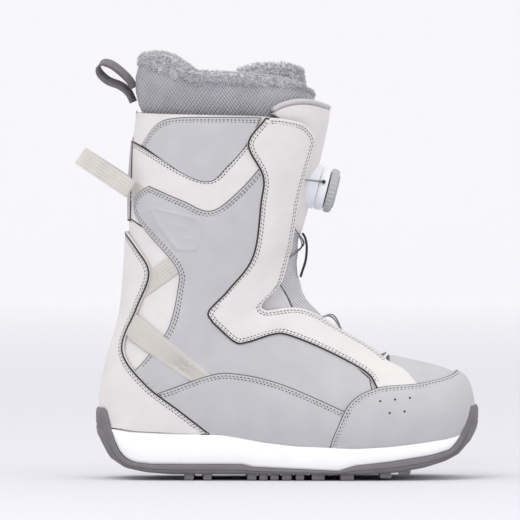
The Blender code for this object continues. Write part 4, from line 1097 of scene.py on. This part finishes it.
def liner_ring(height, inward):
    """A level ring of the liner's wall: heights run through the five top sections."""
    table = np.array(LINER_TOP)
    back, front, wide = [np.interp(height, table[:, 0], table[:, k]) for k in (1, 2, 3)]
    turn = np.linspace(0, math.tau, RING_POINTS + 1)[:-1]
    length = (front - back) / 2 - inward
    cosine, sine = np.cos(turn), np.sin(turn)
    x = (front + back) / 2 + length * np.sign(cosine) * abs(cosine) ** 0.92
    y = LINER_MIDDLE + (wide - inward) * np.sign(sine) * abs(sine) ** 0.92
    return x, y


WALL_SWELL = [(0.0, 0.0), (0.06, 0.3), (0.2, 0.6), (0.4, 0.9), (0.6, 1.0), (0.78, 0.85), (0.9, 0.5),
              (0.97, 0.0)]


def liner_wall(name, materials, low_line, top_line, bulge, wall=5.0):
    """A soft wall round the leg between two side view lines, with a rounded top."""
    rings = [(level, -bulge * swell) for level, swell in WALL_SWELL]
    rings += [(1.0, 1.0), (1.0, wall - 1.0)]
    rings += [(level, wall + bulge * swell * 0.5) for level, swell in WALL_SWELL[::-1]]
    lengths, _ = liner_ring(300.0, 0)
    base, top = at_line(low_line, lengths), at_line(top_line, lengths)
    points = []
    for level, inward in rings:
        for k, height in enumerate(base + (top - base) * level):
            xs, ys = liner_ring(height, inward)
            points.append((xs[k], ys[k], height))
    faces = []
    for r in range(len(rings)):
        here, there = r * RING_POINTS, (r + 1) % len(rings) * RING_POINTS
        for k in range(RING_POINTS):
            j = (k + 1) % RING_POINTS
            faces.append((here + k, here + j, there + j, there + k))
    return add_object(name, outward_mesh(name, points, faces), materials)


def build_liner():
    """The knit cuff, its fleece collar and the padded tongue."""
    cuff_low = [(-150, 262.0), (50, 262.0)]
    cuff = liner_wall("liner_cuff", [LOOK["knit"]], cuff_low, KNIT_TOP, 1.6)
    fit(cuff, "boot")
    fur_low = [(x, z - 3.0) for x, z in KNIT_TOP]
    fur_top = [(x, z - 2.5) for x, z in FUR_TOP]
    collar = liner_wall("fleece_collar", [LOOK["fur"]], fur_low, fur_top, 0.6, 6.5)
    fit(collar, "boot", "liner_fur_collar")
    tongue_pad()
    fleece("fleece_strands", collar, "boot", 9000, 2.6)


FLEECE_HALF, PAD_HALF = 38.0, 15.5


def cushion(name, low, top, half, rows, columns, dip, look):
    """A cushion that curves round the shin; dip lowers its top edge at a place across (-1 to 1)."""
    outer, inner = [], []
    for i in range(rows + 1):
        t = i / rows
        for j in range(columns + 1):
            u = j / columns * 2 - 1
            z = low + (top - low) * t - t * dip(u)
            front = front_line(z) - (u * half / FLEECE_HALF) ** 2 * 48
            soft = math.sqrt(max(0.0, 1 - u ** 4)) * math.sqrt(max(0.0, 1 - (2 * t - 1) ** 8))
            y = LINER_MIDDLE + half * u
            outer.append((front + 0.8 * soft, y, z))
            inner.append((front - 1.2 - 6.5 * soft, y, z))
    wide, total = columns + 1, len(outer)
    faces = []
    for i in range(rows):
        for j in range(columns):
            a = i * wide + j
            faces.append((a, a + 1, a + 1 + wide, a + wide))
            faces.append((total + a, total + a + wide, total + a + 1 + wide, total + a + 1))
    rim = (list(range(wide)) + [i * wide + columns for i in range(1, rows + 1)]
           + [rows * wide + j for j in range(columns - 1, -1, -1)]
           + [i * wide for i in range(rows - 1, 0, -1)])
    for a, b in zip(rim, rim[1:] + rim[:1]):
        faces.append((a, b, total + b, total + a))
    return add_object(name, outward_mesh(name, outer + inner, faces), [LOOK[look]])


def tongue_pad():
    """The padded liner tongue in front of the shin, topped with fleece."""
    pad = cushion("liner_tongue_pad", 120.0, 300.0, PAD_HALF, 40, 20, lambda u: 0.0, "knit")
    fit(pad, "inner_tongue", "liner_tongue")
    top = cushion("liner_tongue_fleece", 301.0, 318.5, FLEECE_HALF, 14, 30,
                  lambda u: 5.0 * math.exp(-(u / 0.4) ** 2) + 6.0 * u ** 6, "fur")
    fit(top, "inner_tongue", "liner_tongue_fur")
    fleece("tongue_fleece_strands", top, "inner_tongue", 3500, 2.2)


TONGUE_FRONT = [(120, 22), (150, 0.2), (168, 0.6), (183, 2.1), (203, 5.6), (227, 10.6), (241, 14.2),
                (257, 18.5), (276, 18.5), (287, 18.0), (299, 15.5), (303, 12.2), (319, 9.8), (333, 7)]


def front_line(height):
    """Front of the liner tongue's outer face at a height."""
    heights, fronts = zip(*TONGUE_FRONT)
    return float(np.interp(height, heights, fronts))


def fleece(name, base, body, count, length):
    """Short tapered curls of pile on a base mesh."""
    mesh = base.data
    mesh.calc_loop_triangles()
    verts = np.array([v.co for v in mesh.vertices]) / MM
    tris = np.array([t.vertices for t in mesh.loop_triangles])
    normals = np.array([t.normal for t in mesh.loop_triangles])
    a, b, c = verts[tris[:, 0]], verts[tris[:, 1]], verts[tris[:, 2]]
    area = np.linalg.norm(np.cross(b - a, c - a), axis=1)
    rng = np.random.default_rng(11)
    pick = rng.choice(len(tris), count, p=area / area.sum())
    u, v = rng.random(count), rng.random(count)
    over = u + v > 1
    u[over], v[over] = 1 - u[over], 1 - v[over]
    roots = a[pick] + (b - a)[pick] * u[:, None] + (c - a)[pick] * v[:, None]
    up = normals[pick]
    tuft = np.sin(roots @ np.array([0.9, 0.35, 0.6])) + np.sin(roots @ np.array([-0.4, 0.8, 0.7]) * 1.3)
    lean = rng.normal(0, 0.45, (count, 3)) + np.stack([tuft * 0.35, -tuft * 0.25, tuft * 0.2], 1)
    points, faces = [], []
    for k in range(count):
        way = up[k] + lean[k]
        way /= np.linalg.norm(way)
        side = np.cross(way, (0.31, 0.52, 0.79))
        side /= np.linalg.norm(side)
        other = np.cross(way, side)
        bend = np.cross(way, lean[k])
        size = length * (0.6 + 0.5 * rng.random())
        start = len(points)
        for level, radius in ((-0.25, 0.42), (0.35, 0.40), (0.75, 0.27)):
            middle = roots[k] + way * size * level + bend * size * 0.35 * max(0, level) ** 2
            for n in range(3):
                angle = math.tau * n / 3
                points.append(middle + radius * (side * math.cos(angle) + other * math.sin(angle)))
        points.append(roots[k] + way * size + bend * size * 0.45)
        for level in range(2):
            for n in range(3):
                m = (n + 1) % 3
                p = start + level * 3
                faces.append((p + n, p + m, p + 3 + m, p + 3 + n))
        for n in range(3):
            faces.append((start + 6 + n, start + 6 + (n + 1) % 3, start + 9))
        faces.append((start + 2, start + 1, start))
    fit(add_object(name, mesh_from(name, points, faces), [LOOK["fur"]]), body)


# ---- lace ------------------------------------------------------------------------------------
LACE_RADIUS = 0.6
LACE_FRONT = [(70.0, 92.5, 1.6), (60.0, 97.6, 1.4), (48.0, 104.0, 1.4), (42.0, 109.6, 1.9)]
LACE_ANKLE = [(20.5, 121.0, 1.65), (8.0, 125.0, 1.4), (-8.0, 123.5, 1.4), (-22.0, 124.5, 1.4)]
LACE_LEG = [(-22.0, 124.5, 1.4), (-27.0, 132.0, 1.4), (-21.0, 143.0, 1.4), (-12.0, 155.0, 1.4),
            (-5.0, 164.5, 1.4), (1.5, 170.0, 1.2)]
LACE_TOP = [(6.0, 189.5, 1.2), (1.0, 197.0, 1.4), (-1.5, 207.0, 1.4), (0.5, 218.0, 1.4), (6.0, 225.5, 1.4),
            (12.0, 228.6, 1.6)]


def lace_stops(stops, medial):
    """Points of the lace on one side, from side view stops with their offsets."""
    sv = to_domain([(x, z) for x, z, _ in stops], medial)
    return list(at_offset(sv, np.array([offset for _, _, offset in stops])))


def ridge_point(x, z, lift):
    """A point where the lace crosses the middle line, lifted forward and up."""
    return np.array([x + lift, middle_shift(x), z + lift])


def build_lace():
    """The lace in three runs, each swept between the boot and the tongue."""
    front = [np.array(p) for p in lace_stops(LACE_ANKLE, True)[::-1]]
    front += [ridge_point(33.5, 123.6, 0.0)] + lace_stops(LACE_FRONT, False)[::-1]
    front += [ridge_point(75.6, 96.0, 0.0)] + lace_stops(LACE_FRONT, True)
    front += [ridge_point(33.5, 123.6, 1.3)] + lace_stops(LACE_ANKLE, False)
    run = sweep("lace_front_run", smooth(front, 1.2), round_profile(LACE_RADIUS, 8), [LOOK["steel"]])
    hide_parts("lace")
    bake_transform(run)
    for label, medial in (("lateral", False), ("medial", True)):
        side = 1 if medial else -1
        line = lace_stops(LACE_LEG, medial) + [ridge_point(11.2, 178.0, 1.3 if medial else 0.0)]
        line += lace_stops(LACE_TOP, not medial)
        line.append(np.array(reel_matrix() @ Vector((-5.2, -side * (REEL_RADIUS - 1.0), 5.2))))
        run = sweep("lace_leg_run_" + label, smooth(line, 1.2), round_profile(LACE_RADIUS, 8),
                    [LOOK["steel"]])
        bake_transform(run)


# ---- remaining nodes, stage and camera -------------------------------------------------------
CARRIED = {
    "base_shell_lateral": "lining", "base_shell_medial": "lining", "lasting_board": "lining",
    "footbed": "lining", "reel_spool": "black", "reel_axle": "steel", "reel_bushing": "black",
    "reel_pawl_disc": "black", "liner_boot": "knit",
}


def finish_carried():
    """Node materials for the CAD nodes that are still shown."""
    for name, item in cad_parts.items():
        if item.hide_render:
            continue
        item.data.materials.clear()
        item.data.materials.append(LOOK[CARRIED.get(name, "black")])


def studio_paper():
    """Matt paper with painted shade: darker on the floor under the boot than on the backdrop far behind it.
    """
    material = surface("studio_paper", (0.9, 0.9, 0.9), 0.85, (("noise", 40.0, 0.02, 0),), 0.01, 2.0)
    tree = material.node_tree
    split = tree.nodes.new("ShaderNodeSeparateXYZ")
    tree.links.new(tree.nodes["Texture Coordinate"].outputs["Object"], split.inputs["Vector"])
    reach = node(tree, "ShaderNodeMapRange", From_Min=-0.2, From_Max=6.0)
    tree.links.new(split.outputs["Y"], reach.inputs["Value"])
    ramp = tree.nodes.new("ShaderNodeValToRGB")
    ramp.color_ramp.elements[0].color = FLOOR_SHADE_COLOUR
    ramp.color_ramp.elements[1].color = WALL_COLOUR
    tree.links.new(reach.outputs["Result"], ramp.inputs["Fac"])
    tree.links.new(ramp.outputs["Color"], tree.nodes["Principled BSDF"].inputs["Base Color"])
    return material


# The floor's darker colour is painted shade, blended into the wall's colour with distance behind the boot.
FLOOR_SHADE_COLOUR = (0.70, 0.69, 0.73, 1)
WALL_COLOUR = (1.0, 0.99, 1.0, 1)
FLOOR_REACH = 14000            # half width of the floor, and how far it runs towards the camera
BEND_START, BEND_RADIUS = 8000, 3000
# Name, place in metres, size in metres and power in watts.
LAMPS = [("key_lamp", (-0.7, -1.3, 1.5), 1.0, 9.5), ("fill_lamp", (1.2, -1.2, 0.9), 1.4, 3.5),
         ("top_lamp", (0.0, -0.1, 1.9), 1.4, 5.0)]


def build_stage():
    """A pale floor that curves up into a backdrop, and soft studio lamps."""
    bend = np.linspace(0.05, math.pi / 2, 24)
    profile = [(-FLOOR_REACH, 0), (BEND_START, 0)]
    profile += [(BEND_START + BEND_RADIUS * math.sin(a), BEND_RADIUS - BEND_RADIUS * math.cos(a))
                for a in bend]
    profile.append((BEND_START + BEND_RADIUS, 9000))
    points, faces = [], []
    for y, z in profile:
        points += [(-FLOOR_REACH, y, z - 0.02), (FLOOR_REACH, y, z - 0.02)]
    for k in range(len(profile) - 1):
        faces.append((2 * k, 2 * k + 1, 2 * k + 3, 2 * k + 2))
    floor = add_object("studio_floor", mesh_from("studio_floor", points, faces), [studio_paper()])
    world = bpy.data.worlds.new("studio")
    bpy.context.scene.world = world
    world.use_nodes = True
    background = world.node_tree.nodes["Background"]
    background.inputs["Color"].default_value = (0.97, 0.97, 1.0, 1)
    background.inputs["Strength"].default_value = 0.97
    for name, place, size, power in LAMPS:
        lamp = bpy.data.lights.new(name, "AREA")
        lamp.energy = power
        lamp.size = size
        item = bpy.data.objects.new(name, lamp)
        item.location = place
        aim = Vector((-0.01, 0, 0.15)) - Vector(place)
        item.rotation_euler = aim.to_track_quat("-Z", "Y").to_euler()
        PIECES.objects.link(item)


CAMERA_REACH = 5.0             # metres from the camera to the boot
FRAME_WIDTH = 0.3983           # metres across the picture at the boot


def build_camera():
    """A long lens from the boot's outer side, a little above level."""
    camera = bpy.data.cameras.new("camera")
    camera.lens = 36 * CAMERA_REACH / FRAME_WIDTH
    bpy.context.scene.view_settings.view_transform = "Standard"
    item = bpy.data.objects.new("camera", camera)
    PIECES.objects.link(item)
    target = Vector((-0.0210, 0.0, 0.1670))
    elevation = math.radians(0.9)
    back = Vector((0, -math.cos(elevation), math.sin(elevation)))
    item.location = target + back * CAMERA_REACH
    item.rotation_euler = (-back).to_track_quat("-Z", "Y").to_euler()
    bpy.context.scene.camera = item


build_quarters()
build_heel()
build_toe()
build_back_stay()
build_vents()
build_webbing()
build_straps()
build_tongue()
build_reel()
build_ferrules()
build_sole()
build_liner()
build_lace()
finish_carried()
build_stage()
build_camera()
